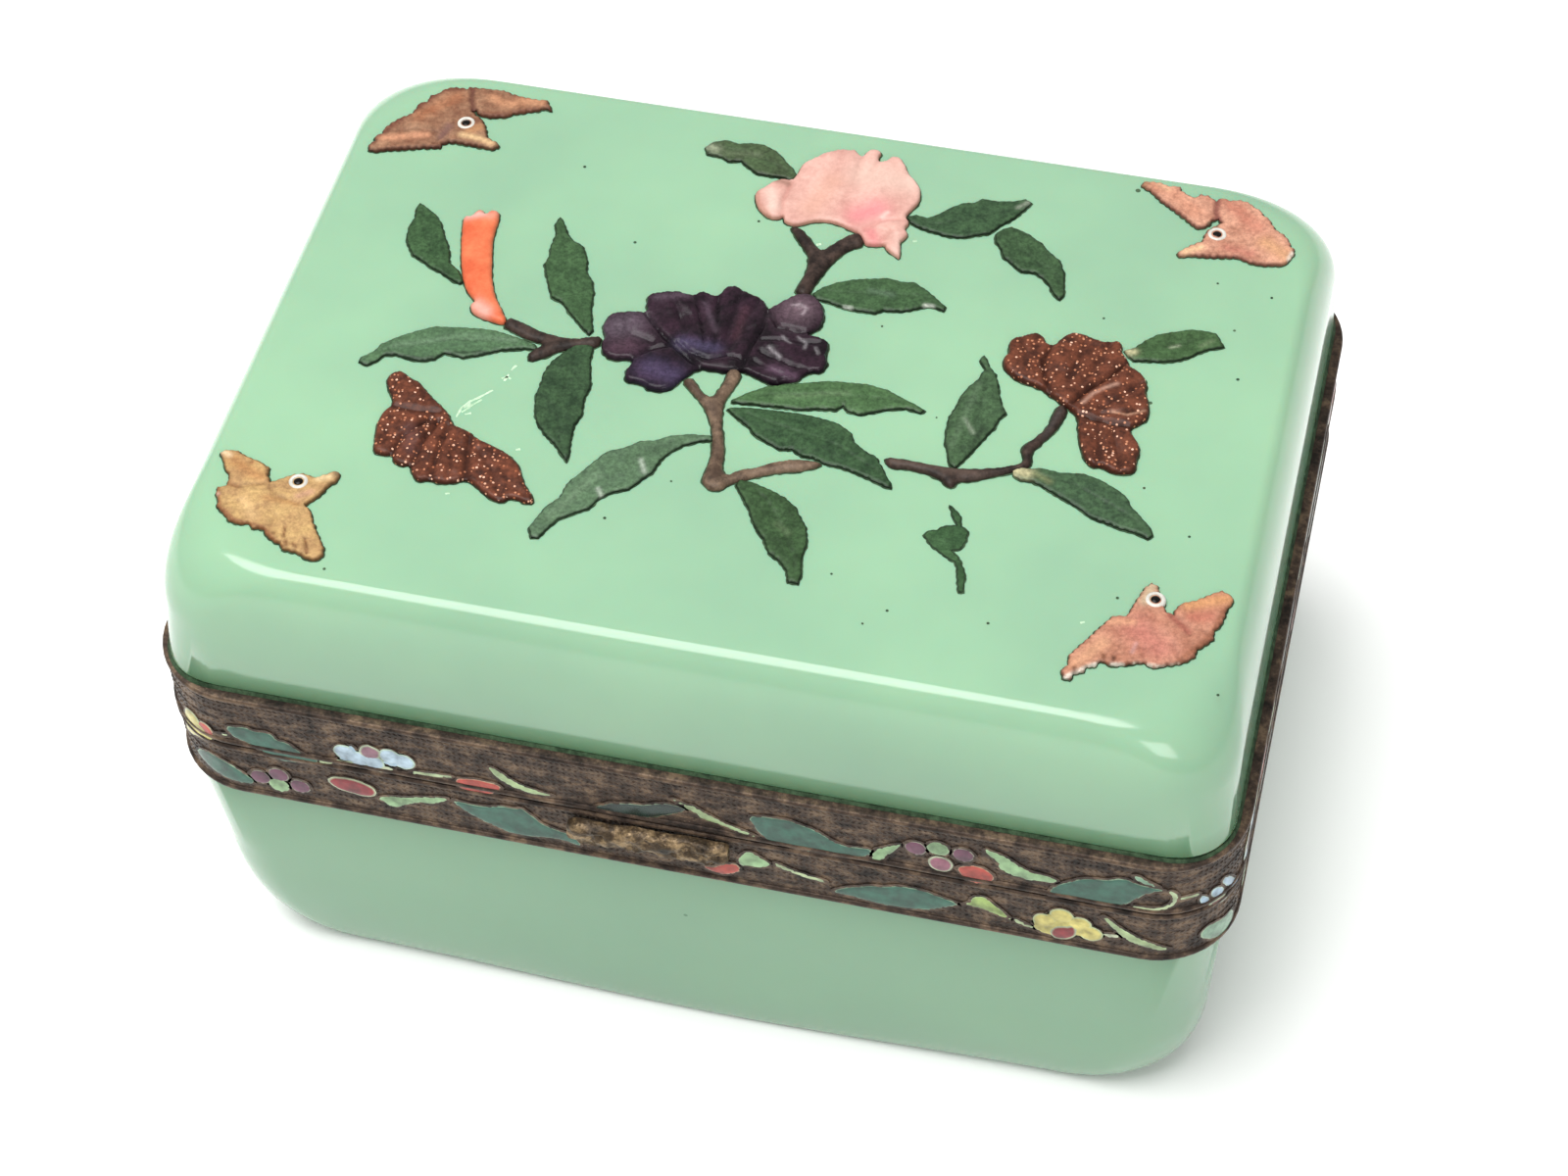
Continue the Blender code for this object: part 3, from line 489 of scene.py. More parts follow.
# One metal rim: a beaded band outside, a flange at the seam, and on the base a lip
def makeRim(name, foot, flangeUp):
    top = foot + box["rimHeight"]
    seamSide, glassSide = (top, foot) if flangeUp else (foot, top)
    inward = -1 if flangeUp else 1
    turns = [step / rim["beadSteps"] * math.pi for step in range(rim["beadSteps"] + 1)]
    bead = [(rim["bead"] * (1 - math.sin(t)), (1 - math.cos(t)) / 2 * rim["beadHeight"])
            for t in turns]
    profile = [(inset, glassSide - inward * height) for inset, height in bead]
    profile += [(inset, seamSide + inward * height) for inset, height in bead[::-1]]
    flange = seamSide + inward * rim["flange"]
    if flangeUp:
        lip = seamSide + rim["lipHeight"]
        profile += [(rim["lipInset"], seamSide), (rim["lipInset"], lip),
                    (rim["lipInset"] + rim["lipWidth"], lip),
                    (rim["lipInset"] + rim["lipWidth"], flange)]
    else:
        profile += [(rim["flangeInset"], seamSide), (rim["flangeInset"], flange)]
    profile += [(rim["wall"], flange), (rim["wall"], glassSide)]
    rings = [ringAt(inset, max(box["corner"] - inset, rim["wall"]), height, 0.0,
                    rim["cornerSteps"], rim["sideSteps"])
             for inset, height in profile]
    points, faces = loftRings(rings, closed=True)
    makePiece(name, points, faceOutwards(points, faces), "brass", 45.0,
              (name.replace("Stamping", "_rim"),))


# Where a place on the rims' outline is, along from the middle of the front to the right,
# and which way is out
def rimPlace(along):
    halfX, halfY = box["length"] / 2 - box["corner"], box["width"] / 2 - box["corner"]
    arc = box["corner"] * math.pi / 2
    along = (along + halfX) % (4 * (halfX + halfY) + 4 * arc)
    corners = ((halfX, -halfY), (halfX, halfY), (-halfX, halfY), (-halfX, -halfY))
    starts = ((-halfX, -halfY),) + corners[:3]
    for quarter, (start, centre) in enumerate(zip(starts, corners)):
        side = 2 * (halfY if quarter % 2 else halfX)
        first = (quarter - 1) * math.pi / 2
        if along <= side:
            share = along / side
            foot = Vector(start).lerp(Vector(centre), share)
            angle = first
            break
        along -= side
        if along <= arc:
            foot = Vector(centre)
            angle = first + along / box["corner"]
            break
        along -= arc
    out = Vector((math.cos(angle), math.sin(angle)))
    foot = foot + out * box["corner"]
    return Vector((foot.x, foot.y + box["middleY"], 0.0)), Vector((out.x, out.y, 0.0))


# The stamped ground: slanting grains in rows, turned one way and the other like a herringbone
def makeGroundTree():
    tree = bpy.data.node_groups.new("stampedGround", "GeometryNodeTree")
    tree.interface.new_socket("Geometry", in_out="INPUT", socket_type="NodeSocketGeometry")
    for name in ("Pitch", "Size", "Depth", "Turn"):
        tree.interface.new_socket(name, in_out="INPUT", socket_type="NodeSocketFloat")
    tree.interface.new_socket("Finish", in_out="INPUT", socket_type="NodeSocketMaterial")
    tree.interface.new_socket("Geometry", in_out="OUTPUT", socket_type="NodeSocketGeometry")
    given = addNode(tree, "NodeGroupInput").outputs
    rows = addNode(tree, "GeometryNodeMeshToCurve", {"Mesh": given["Geometry"]})
    spaced = addNode(tree, "GeometryNodeResampleCurve", {
        "Curve": rows.outputs["Curve"], "Length": given["Pitch"]}, mode="LENGTH")
    tangent = addNode(tree, "GeometryNodeInputTangent").outputs["Tangent"]
    outward = addNode(tree, "ShaderNodeVectorMath", {0: tangent, 1: (0.0, 0.0, 1.0)},
                      operation="CROSS_PRODUCT").outputs[0]
    facing = addNode(tree, "FunctionNodeAlignRotationToVector", {"Vector": outward}, axis="Z")
    along = addNode(tree, "FunctionNodeAlignRotationToVector", {
        "Rotation": facing.outputs[0], "Vector": tangent}, axis="X", pivot_axis="Z")
    row = addNode(tree, "GeometryNodeInputNamedAttribute", {"Name": "slant"}).outputs[0]
    turn = addNode(tree, "ShaderNodeMath", {0: row, 1: given["Turn"]}, operation="MULTIPLY")
    spin = addNode(tree, "ShaderNodeCombineXYZ", {"Z": turn.outputs[0]})
    spun = addNode(tree, "FunctionNodeRotateRotation", {
        "Rotation": along.outputs[0], "Rotate By": spin.outputs[0]}, rotation_space="LOCAL")
    grain = addNode(tree, "GeometryNodeMeshCone", {
        "Vertices": 4, "Radius Top": rim["grainTip"] * 0.001, "Radius Bottom": given["Size"],
        "Depth": given["Depth"]})
    jitter = addNode(tree, "FunctionNodeRandomValue", {"Min": (0.9, 0.5, 0.5),
                                                       "Max": (1.7, 0.8, 1.0), "Seed": 7},
                     data_type="FLOAT_VECTOR")
    placed = addNode(tree, "GeometryNodeInstanceOnPoints", {
        "Points": spaced.outputs["Curve"], "Instance": grain.outputs["Mesh"],
        "Rotation": spun.outputs[0], "Scale": jitter.outputs[0]})
    real = addNode(tree, "GeometryNodeRealizeInstances", {"Geometry": placed.outputs[0]})
    finished = addNode(tree, "GeometryNodeSetMaterial", {
        "Geometry": real.outputs[0], "Material": given["Finish"]})
    addNode(tree, "NodeGroupOutput", {"Geometry": finished.outputs[0]})
    return tree


# Lays the grains along level rows round one rim
def makeGround(name, foot, tree):
    points, edges, slants = [], [], []
    low = foot + rim["beadHeight"]
    pitch = (box["rimHeight"] - 2 * rim["beadHeight"]) / rim["grainRows"]
    for row in range(rim["grainRows"]):
        ring = ringAt(rim["bead"], box["corner"] - rim["bead"], low + (row + 0.5) * pitch,
                      0.0, rim["cornerSteps"], rim["sideSteps"])
        first = len(points)
        points += ring
        edges += [(first + i, first + (i + 1) % len(ring)) for i in range(len(ring))]
        slants += [1.0 if row % 2 else -1.0] * len(ring)
    mesh = bpy.data.meshes.new(name + "Rows")
    mesh.from_pydata([tuple(p * 0.001 for p in point) for point in points], edges, [])
    mesh.attributes.new("slant", "FLOAT", "POINT").data.foreach_set("value", slants)
    rows = bpy.data.objects.new(name + "Rows", mesh)
    bpy.context.scene.collection.objects.link(rows)
    modifier = rows.modifiers.new("ground", "NODES")
    modifier.node_group = tree
    wanted = {"Pitch": rim["grainPitch"] * 0.001, "Size": rim["grainSize"] * 0.001,
              "Depth": rim["grainDepth"] * 0.001, "Turn": math.radians(rim["grainTurn"]),
              "Finish": finishes["brass"]}
    for socket in tree.interface.items_tree:
        if socket.name in wanted:
            modifier[socket.identifier] = wanted[socket.name]
    bpy.context.view_layer.update()
    made = bpy.data.meshes.new_from_object(
        rows.evaluated_get(bpy.context.evaluated_depsgraph_get()))
    bpy.data.objects.remove(rows)
    made.name = name
    ground = bpy.data.objects.new(name, made)
    bpy.context.scene.collection.objects.link(ground)
    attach(ground, "root")


makeGlass()
makeSeatShadows()
makeRim("baseStamping", box["rimBase"], True)
makeRim("lidStamping", box["lidRimBase"], False)
groundTree = makeGroundTree()
makeGround("baseGround", box["rimBase"], groundTree)
makeGround("lidGround", box["lidRimBase"], groundTree)
print("glass and rims ready")


# The inlay's outlines as the sheet of drawing shows them, in millimetres from the lid's middle
plans = {
    "back_left_bird": [(-51.2, 23.3), (-50.5, 23.2), (-49.1, 23.8), (-46.8, 24.4), (-45.1, 25),
        (-43.5, 25.3), (-43.4, 25.9), (-42.8, 26.4), (-41.7, 26.5), (-40.1, 26.4), (-37.8, 26.3),
        (-37.2, 26.7), (-37.3, 27.3), (-38.7, 27.9), (-39.1, 28.6), (-39.5, 29.6), (-40.2, 30.6),
        (-41.1, 31.2), (-41.8, 31.8), (-41.3, 31.9), (-40.8, 31.3), (-39.4, 31.2), (-37.7, 31.7),
        (-37, 32.4), (-35.7, 32.9), (-34.5, 33.4), (-33.8, 33.9), (-33, 33.7), (-33.4, 34.3),
        (-33.9, 35.2), (-35.2, 35), (-36.6, 35.1), (-38, 35.3), (-39.3, 35.7), (-40.3, 35.6),
        (-41.7, 35.5), (-43.1, 35.4), (-43.2, 35.1), (-44.9, 35), (-45.7, 34.5), (-46.1, 34),
        (-46.4, 33.5), (-47, 33.2), (-47.1, 32.2), (-47.9, 31.6), (-48, 30.6), (-48.2, 29.9),
        (-49.3, 28.9), (-50, 27.9), (-50.5, 26.9), (-50.4, 26.2), (-51.1, 25.6), (-50.9, 24.8),
        (-51.4, 24.1)],
    "back_right_bird": [(38.9, 26.3), (39.2, 25.9), (40.3, 26.3), (42.2, 26.5), (43.8, 26.8),
        (45.2, 27.1), (46.6, 26.6), (48.2, 26.5), (50.2, 27), (50.6, 27.6), (51, 28.6), (51, 29.5),
        (50.5, 29.9), (50.3, 30.6), (49.6, 31.5), (48.6, 32), (48.2, 32.6), (47.7, 33.5),
        (47, 33.9), (46.6, 34.6), (45.9, 34.9), (45.2, 35.5), (44.3, 35.7), (43.3, 35.4),
        (42.2, 35.6), (41.7, 35), (40.8, 35.6), (39.9, 35.7), (39.4, 35), (38.7, 35.2),
        (37.8, 35.8), (37.5, 36.4), (36.2, 36.2), (35.5, 36.5), (34.3, 36.5), (33.5, 36.3),
        (33.4, 35.7), (34.3, 35.3), (36.2, 33.6), (38.5, 32), (40.1, 30.7), (40.8, 30.6),
        (41.5, 31.3), (41.8, 32.1), (42.4, 32.4), (42.8, 31.8), (42.1, 31.1), (41.5, 30.4),
        (41.3, 29.5), (41.2, 28.6), (40.1, 27.8), (39.3, 26.9)],
    "front_left_bird": [(-52.1, -22.9), (-51.4, -24), (-50.9, -24.9), (-50.2, -25.6), (-50, -26.4),
        (-50, -27.1), (-50.8, -27.4), (-50.7, -28.3), (-50.2, -29), (-50, -29.9), (-49.1, -30.6),
        (-48.2, -31.4), (-47, -31.6), (-46.1, -31.3), (-45.6, -31.8), (-44.4, -31.7),
        (-43.9, -32.4), (-43.1, -32.9), (-42.1, -33.2), (-41.7, -33.8), (-40.5, -33.9),
        (-39.8, -34.1), (-38.9, -34.5), (-38, -34.5), (-37.4, -33.8), (-37.6, -32.9),
        (-38.4, -31.7), (-39.4, -30.4), (-40.1, -29.2), (-40.5, -28.4), (-41.3, -27.8),
        (-40.7, -26.9), (-40.2, -26), (-39.8, -24.8), (-39.1, -23.8), (-39.1, -23), (-39.8, -22.8),
        (-40.5, -23.4), (-41.4, -24.1), (-42.8, -23.8), (-43.7, -24.1), (-44.9, -25),
        (-45.8, -25.7), (-46.3, -24.8), (-46.5, -23.8), (-47.7, -23.2), (-49.1, -22.9),
        (-50.4, -22.3), (-51.6, -22.4)],
    "front_right_bird": [(37.6, -32.9), (38.3, -33), (38.5, -32.2), (39.4, -31.7), (39.6, -31),
        (40.3, -30.9), (40.8, -30.1), (41.9, -30.4), (43.1, -30.1), (43.8, -29.7), (44.9, -29.4),
        (45.9, -29.8), (47, -29.3), (48.2, -28.8), (48.9, -28.3), (49.6, -27.6), (49.6, -26.7),
        (50.3, -26), (51, -25.1), (50.9, -24.1), (51.4, -23.2), (51.6, -22.3), (51.7, -21.1),
        (52.2, -20), (51.9, -19.4), (50.9, -18.9), (50, -19.5), (48.6, -20.7), (47.3, -21.4),
        (46.8, -22.3), (46.8, -23), (45.9, -22.7), (45.6, -21.8), (44.9, -20.7), (44.7, -19.7),
        (44, -19.4), (43.5, -20), (43.1, -21.1), (42.7, -22.7), (42.3, -24.1), (41, -24.4),
        (40.3, -25.5), (39.4, -27.1), (38.3, -29), (37.7, -30.1), (37.8, -31.3), (37.3, -32)],
    "amethyst_blossom": [(-18.3, 3.4), (-18.5, 2.5), (-17.8, 1.4), (-17.9, -0.1), (-17.2, -1.4),
        (-15.6, -1.6), (-14.5, -1.2), (-13.9, -1.6), (-14.5, -3.2), (-14, -4.4), (-12.8, -4.3),
        (-12.1, -4.5), (-11.3, -5), (-9.7, -4.9), (-8.9, -4), (-8.6, -3.2), (-8, -2.3), (-7.1, -1),
        (-5.6, -0.9), (-4.1, -1), (-2.5, -0.3), (-1.2, -0.8), (0.5, -1.4), (1.6, -1.6), (1.9, -1),
        (3.1, -0.7), (3.9, 0.3), (4.4, 1), (5.7, 1.2), (6, 2.5), (5.5, 3.6), (5.5, 5.3),
        (4.9, 5.8), (2.7, 6.1), (3.8, 7.1), (4.2, 8.2), (4, 9.7), (3.1, 11.2), (1.8, 11.9),
        (0.3, 11.4), (-0.8, 10.1), (-1.9, 8.8), (-2.1, 9), (-2.8, 10.1), (-4.7, 10.6), (-6, 11.4),
        (-7.1, 11), (-7.5, 9.7), (-8.2, 9.5), (-9.5, 9.9), (-9.9, 9.3), (-10.6, 9), (-12.1, 9.3),
        (-13.9, 8.7), (-15, 8.1), (-14.8, 6.9), (-14.3, 5.6), (-16.1, 5.3), (-17.4, 5),
        (-18.3, 4.3)],
    "pink_blossom": [(-4.1, 28.4), (-5.2, 28.4), (-6.1, 27.7), (-6.5, 27), (-7.3, 26.1),
        (-7.5, 25.4), (-7.1, 24.3), (-6.4, 23.1), (-5, 22.2), (-4.1, 22.4), (-3.7, 22.9),
        (-3.3, 21.9), (-2, 21.7), (-1.1, 22.4), (0.3, 23), (1.9, 23.1), (3.6, 22.5), (5, 22),
        (5.6, 21.2), (6, 20.4), (7.2, 20.6), (8, 20.9), (8.3, 20.3), (9.5, 19.5), (10, 19.2),
        (9.9, 20.3), (9.5, 21.6), (9.9, 22.3), (10.1, 23), (9.5, 23.7), (9.9, 24.6), (9.3, 25.5),
        (9.6, 26.5), (10.3, 28.1), (10.1, 29.7), (9.3, 31.1), (8.3, 31.9), (7.6, 33.2),
        (6.9, 34.3), (5.8, 34.4), (5.5, 33.6), (4.6, 33.2), (4.4, 33.9), (4.6, 34.8), (3.9, 35),
        (3, 34.7), (2.8, 33.6), (2.1, 33.9), (1.6, 34.6), (1, 34.2), (0.3, 34.4), (-1.3, 33.5),
        (-2.7, 32.1), (-3.5, 31.2), (-3.7, 29.3)],
    "goldstone_blossom": [(23.8, 7.2), (23.9, 6.1), (24.7, 5.2), (25.7, 4.5), (28.1, 4),
        (29.9, 2.9), (30.8, 2.2), (31.8, 1.7), (32.9, 0.6), (33.1, -0.8), (33.6, -2.6),
        (34.4, -4.6), (35.3, -5.6), (36.5, -5.4), (37.6, -6), (39.2, -5.8), (39.9, -5.2),
        (39.7, -3.9), (39.9, -2.5), (39.2, -1.2), (38.5, -0.3), (38.3, 0.4), (39.6, 1.5),
        (39.9, 2.7), (39.6, 4.2), (39, 5.4), (39, 7), (37.8, 8.3), (36.7, 8.7), (36.5, 9.6),
        (35.6, 10.5), (35.6, 11.5), (35.1, 12.1), (33.8, 11.6), (32.4, 11.8), (31.5, 12.3),
        (30, 12.3), (29, 11), (28.7, 10.1), (27.7, 10.1), (27.3, 11), (26.5, 11.5), (25.4, 10.8),
        (24.1, 10.1), (23.9, 9.2), (24.2, 8.1)],
    "butterfly": [(-38.4, -8.7), (-38.5, -9.6), (-37.9, -10.7), (-37.1, -11.9), (-36.8, -12.8),
        (-37.4, -13.7), (-37.6, -15.4), (-37.4, -16.7), (-37.1, -18.1), (-36.8, -19.4),
        (-35.7, -19.6), (-34.8, -19.3), (-34.4, -20.2), (-33.4, -20.6), (-32.5, -20.3),
        (-32, -21.4), (-31.1, -22.3), (-30.1, -21.8), (-28.7, -22), (-27.4, -21.6), (-26.3, -20.9),
        (-25.3, -21.5), (-24.4, -22.1), (-23, -23), (-21.9, -23.1), (-21.3, -22.4), (-20.4, -22.4),
        (-19.7, -22.7), (-18.7, -22.6), (-19.1, -21.6), (-20, -20.7), (-20.9, -19.3),
        (-21.6, -17.9), (-23.2, -16.7), (-25.1, -16), (-26.9, -15.4), (-27.8, -14.7),
        (-29.7, -14.2), (-30.1, -13.7), (-30.8, -12.6), (-32.7, -11.2), (-33.8, -10.3),
        (-35, -9.1), (-35.9, -8.9), (-37.1, -8.1), (-37.7, -8.1)],
    "coral_bar": [(-37.7, 15.4), (-37.4, 13.9), (-36.9, 12), (-36.4, 10.1), (-35.6, 7.8),
        (-34.7, 5.6), (-33.7, 4.3), (-32.7, 3.5), (-33.1, 2.8), (-32.7, 1.9), (-31.6, 1.3),
        (-30.2, 1), (-28.9, 0.8), (-28.7, 1.4), (-29.5, 2.6), (-30.6, 4.1), (-31.4, 5.6),
        (-32.2, 7.6), (-32.7, 9.5), (-33.3, 11.6), (-33.7, 13.5), (-33.8, 15.8), (-34.1, 16.9),
        (-35.1, 16.9), (-35.4, 16.1), (-35.9, 16.8), (-36.6, 16.5), (-36.8, 15.6)],
    "left_twig": [(-28.5, 2), (-28.9, 0.6), (-27.7, 0.1), (-26.2, -0.5), (-24.9, -0.8),
        (-23.9, -0.9), (-24.5, -1.9), (-25.2, -2.8), (-24.7, -3.7), (-23.5, -3), (-22.4, -1.9),
        (-21.2, -1.2), (-19.7, -0.5), (-18.1, -0.3), (-18.1, 1.4), (-19.5, 1), (-20.8, 0.4),
        (-22.7, 0.4), (-24.3, 0.6), (-26, 1.1), (-27.4, 1.7)],
    "upper_twig": [(-2.6, 21.6), (-2, 20.6), (-1.1, 19.4), (-0.1, 18.3), (0.5, 17.1), (0.7, 15.3),
        (0.3, 13.2), (0.2, 11.8), (1.7, 11.7), (2.1, 13.9), (2.6, 15.7), (3.5, 18.2), (4.6, 19.6),
        (5.9, 20.5), (5.1, 22.1), (4.2, 21.9), (3.3, 20.9), (2.3, 19.6), (1.6, 18.6), (0.9, 19.1),
        (-0.1, 20.2), (-1.3, 21.5)],
    "main_branch": [(-7.5, -2.3), (-8.3, -3), (-7.1, -4.1), (-5.2, -5.9), (-4.1, -7.7),
        (-3.4, -9.4), (-3, -11), (-2.7, -13.3), (-2.9, -15.1), (-2.7, -16.3), (-1.7, -17),
        (-0.6, -16.7), (-0.1, -15.8), (1.4, -14.9), (2.8, -14), (4.6, -13.1), (6.7, -12.5),
        (8.6, -11.4), (8.3, -10.9), (6, -11), (3.9, -11.8), (2.1, -13.1), (0.5, -13.7),
        (-0.6, -14.8), (-1.3, -13.7), (-1.5, -11.9), (-2, -10.1), (-2.7, -8.2), (-3.1, -6.4),
        (-3.3, -4.7), (-2.7, -2.7), (-2.4, -0.4), (-4.1, 0.1), (-3.9, -1.7), (-4.3, -3.6),
        (-4.7, -4.7), (-5.9, -4.1), (-6.8, -2.9)],
    "right_branch": [(14.6, -8.8), (17.1, -8.7), (19.9, -8.9), (22.6, -8.7), (24.9, -8.2),
        (27.3, -7.3), (28.4, -6.6), (28.5, -5.9), (27.9, -4.7), (28.6, -3.6), (30, -1.5),
        (30.4, 1.7), (30.9, 2.2), (31.6, 1.7), (31.5, 0.2), (30.8, -1.9), (29.9, -3.5), (29.1, -5),
        (29.4, -6.4), (29.2, -7.1), (27.7, -8), (25.9, -9), (24, -10.1), (22.6, -10.4),
        (22.2, -11.4), (21.5, -11.2), (20.8, -10.5), (19.4, -10.1), (17.1, -9.8), (15.9, -10.1),
        (15, -9.8)],
    "leaf_fragment": [(20.7, -18.1), (21.7, -19.3), (23.1, -20.2), (24.5, -20.9), (24.9, -22),
        (25.2, -23.4), (25.6, -24.6), (26, -24.4), (25.9, -22.7), (25.4, -21.4), (24.7, -20.2),
        (23.8, -19.5), (24.7, -19), (25, -17.9), (24.9, -16.7), (24.1, -16.1), (23.8, -14.9),
        (23.1, -14.2), (22.4, -13.7), (22.9, -14.9), (23.6, -16.1), (22.9, -16.4), (22.2, -16.7),
        (21.7, -17.2), (21, -17.4)],
    "leaf_01": [(-3.7, 29.3), (-4.1, 28.5), (-5, 28.7), (-6.6, 28.7), (-8.2, 28.8), (-9.4, 29.6),
        (-10.3, 30.3), (-11.7, 30), (-12.6, 30.5), (-14.2, 30.6), (-14.7, 31.6), (-14, 32.6),
        (-12.6, 33.2), (-11.2, 32.9), (-9.8, 33.3), (-8.4, 33.3), (-6.8, 32.6), (-5.4, 31.2),
        (-4.4, 30.3)],
    "leaf_02": [(9.3, 25.6), (9.9, 24.9), (11.1, 24.3), (12.5, 24), (14.3, 23.7), (15.9, 23.8),
        (17.6, 24.6), (18.7, 25.1), (19.6, 26.5), (20.8, 27.9), (21.7, 29.5), (22.2, 30.6),
        (21.5, 31), (20.3, 30.4), (18.5, 30), (16.9, 30.1), (16.2, 29.3), (15, 29), (13.9, 28.1),
        (12.7, 26.7), (11.6, 25.9), (10.4, 26.1)],
    "leaf_03": [(19.3, 25.1), (19.9, 25.9), (20.8, 26.5), (22.6, 25.9), (24.3, 24.8), (25.4, 23.7),
        (26.8, 22.6), (27.6, 21), (27.9, 19.3), (28.2, 17.7), (27.9, 16.9), (27, 17.7),
        (26.3, 18.9), (25.4, 19.7), (24.5, 20.3), (23.1, 20.1), (21.7, 21.2), (20.8, 21.9),
        (20.3, 23), (19.6, 23.9)],
    "leaf_04": [(2.1, 12.2), (2.6, 11.5), (4.2, 11.3), (6, 10.8), (7.6, 10.8), (9.3, 10.8),
        (9.9, 11.4), (11.6, 11.6), (12.7, 12), (13.9, 12.7), (14.8, 13), (16.2, 12.7),
        (16.3, 13.3), (15, 14.3), (13.9, 15.2), (12.3, 16.1), (10.9, 15.9), (9.3, 16.1),
        (7.6, 15.6), (5.8, 15.1), (4.2, 14.3), (3, 13.3)],
    "leaf_05": [(-43, 16.5), (-43.2, 15.6), (-42.9, 14.3), (-43.1, 12.8), (-42.9, 11.2),
        (-42.4, 10.1), (-41.4, 8.7), (-40.2, 8.1), (-39.1, 7.4), (-37.7, 6.8), (-36.4, 6.1),
        (-35.2, 5.6), (-34.9, 6), (-35.8, 7.4), (-37.2, 8.4), (-37.6, 9.9), (-38.3, 11.2),
        (-39.1, 12.6), (-39.9, 14.1), (-40.8, 15.1), (-42, 15.9)],
    "leaf_06": [(-27.4, 17.6), (-27.6, 16.4), (-27.1, 14.9), (-27.2, 13.3), (-26.9, 11.8),
        (-27.1, 10.4), (-26.4, 8.7), (-25.8, 7.4), (-25, 5.8), (-23.7, 5.3), (-22.4, 3.9),
        (-20.8, 2.4), (-19.6, 1.4), (-19.3, 2), (-19.9, 3.5), (-20.4, 5.3), (-20.7, 7.2),
        (-21.4, 9.1), (-22.4, 10.3), (-22.7, 11.8), (-23.7, 13.7), (-25.1, 14.5), (-26, 15.4),
        (-26.8, 17)],
    "leaf_07": [(-41.2, -7.9), (-42.2, -7.6), (-42.1, -6.9), (-41, -5.7), (-40.6, -4.6),
        (-39.1, -3.2), (-37.6, -2.1), (-35.8, -1), (-34.3, -0.8), (-32.7, -0.5), (-30.8, -0.3),
        (-28.9, -0.3), (-27, -0.7), (-24.9, -1.2), (-24.3, -1.9), (-26.2, -2.2), (-28.1, -2.8),
        (-29.7, -3.8), (-31.6, -4.7), (-33.7, -4.5), (-34.5, -5.5), (-35.8, -6.1), (-37.4, -6),
        (-38.7, -5.8), (-39.9, -6.1), (-40.4, -7.1)],
    "leaf_08": [(-20.2, 0.3), (-21.1, -1.1), (-22.3, -3.1), (-22.7, -5), (-22.6, -6.8),
        (-22.7, -8), (-22.2, -10.1), (-21.6, -11.7), (-20.2, -13.3), (-18.8, -14.4),
        (-17.7, -15.6), (-17, -16.4), (-17, -15.4), (-17.4, -13.3), (-17.6, -11.4), (-17.2, -9.8),
        (-17.6, -7.7), (-17.4, -5.9), (-18, -3.8), (-18.5, -2), (-18.6, -0.4)],
    "leaf_09": [(-3.4, -9.8), (-5.7, -10.1), (-7.5, -10.7), (-8.9, -11.7), (-10.3, -12.1),
        (-11.7, -13.3), (-13.3, -14.2), (-14.2, -15.8), (-15.1, -17.4), (-16.1, -19.3),
        (-16.3, -21.1), (-17.4, -22.7), (-17.9, -24.4), (-18.3, -25.7), (-17.7, -26.9),
        (-17, -26.8), (-16.5, -25.7), (-15.8, -24.1), (-14.7, -23.2), (-13.1, -22), (-12.4, -20.4),
        (-11.2, -19.3), (-9.8, -18.6), (-8.9, -17.2), (-8, -15.8), (-7.7, -14.2), (-7.1, -13.1),
        (-5.9, -11.7), (-4.3, -10.7), (-3.1, -10.4)],
    "leaf_10": [(-2.5, -4.5), (-1.2, -3.2), (0.5, -1.9), (3.6, -0.8), (6.2, 0.1), (7.4, 0.3),
        (10.6, 0.6), (12.9, 0.3), (14.8, -0.6), (16.2, -1.1), (17.2, -1.7), (16.9, -2.1),
        (15.3, -1.8), (13.4, -2.4), (12, -3.1), (10.9, -3.7), (9.5, -3.5), (8.9, -2.8),
        (8.3, -3.5), (6.5, -3.8), (4.6, -4.3), (2.3, -4.4), (0, -4.6), (-2.5, -4.8)],
    "leaf_11": [(-2.7, -5.9), (-2.4, -5.6), (-0.6, -5.2), (2.3, -5), (4.6, -4.9), (6.9, -5),
        (9, -5.4), (10.6, -6.4), (11.1, -7.5), (12.3, -8.4), (13.9, -9.1), (14.8, -10.5),
        (15.9, -12.1), (16.2, -12.8), (15.3, -12.6), (13.4, -11.9), (11.6, -11.4), (10.2, -11.1),
        (8.8, -11), (7.4, -10.5), (6.3, -10.5), (5.1, -9.8), (3.9, -10.1), (2.3, -9.4),
        (0.9, -8.7), (0.2, -7.9), (-1.5, -6.8)],
    "leaf_12": [(0.9, -15), (2.3, -15.1), (4.2, -15.6), (6, -16.4), (7.4, -17.4), (8.1, -18.6),
        (9, -19.7), (9.5, -21.6), (9.5, -23.9), (9.9, -25.7), (9.9, -27), (8.8, -27), (8.4, -25.7),
        (7.4, -24.6), (6, -23.7), (5.1, -22), (4.2, -21.1), (3.3, -19.7), (2.6, -18.4), (1.6, -17),
        (0.7, -15.8)],
    "leaf_13": [(21.7, 7.3), (21.4, 6.5), (22.2, 5.3), (21.8, 3.8), (21.1, 2.6), (20.5, 1.1),
        (20.3, -0.8), (19.9, -1.9), (20, -3.7), (20.2, -5.5), (20.7, -6.9), (21.3, -8.4),
        (22, -8.7), (22.3, -8), (23.2, -6.2), (23.9, -4.4), (24.7, -2.6), (25, -1.2), (25.5, -0.3),
        (24.8, 0.9), (24.3, 2.2), (23.9, 3.6), (23.4, 4.9), (22.5, 5.8), (22, 6.9)],
    "leaf_14": [(27.7, -7.8), (28.4, -7.3), (29.5, -7.2), (30.6, -6.9), (32.5, -7.1), (34.8, -6.7),
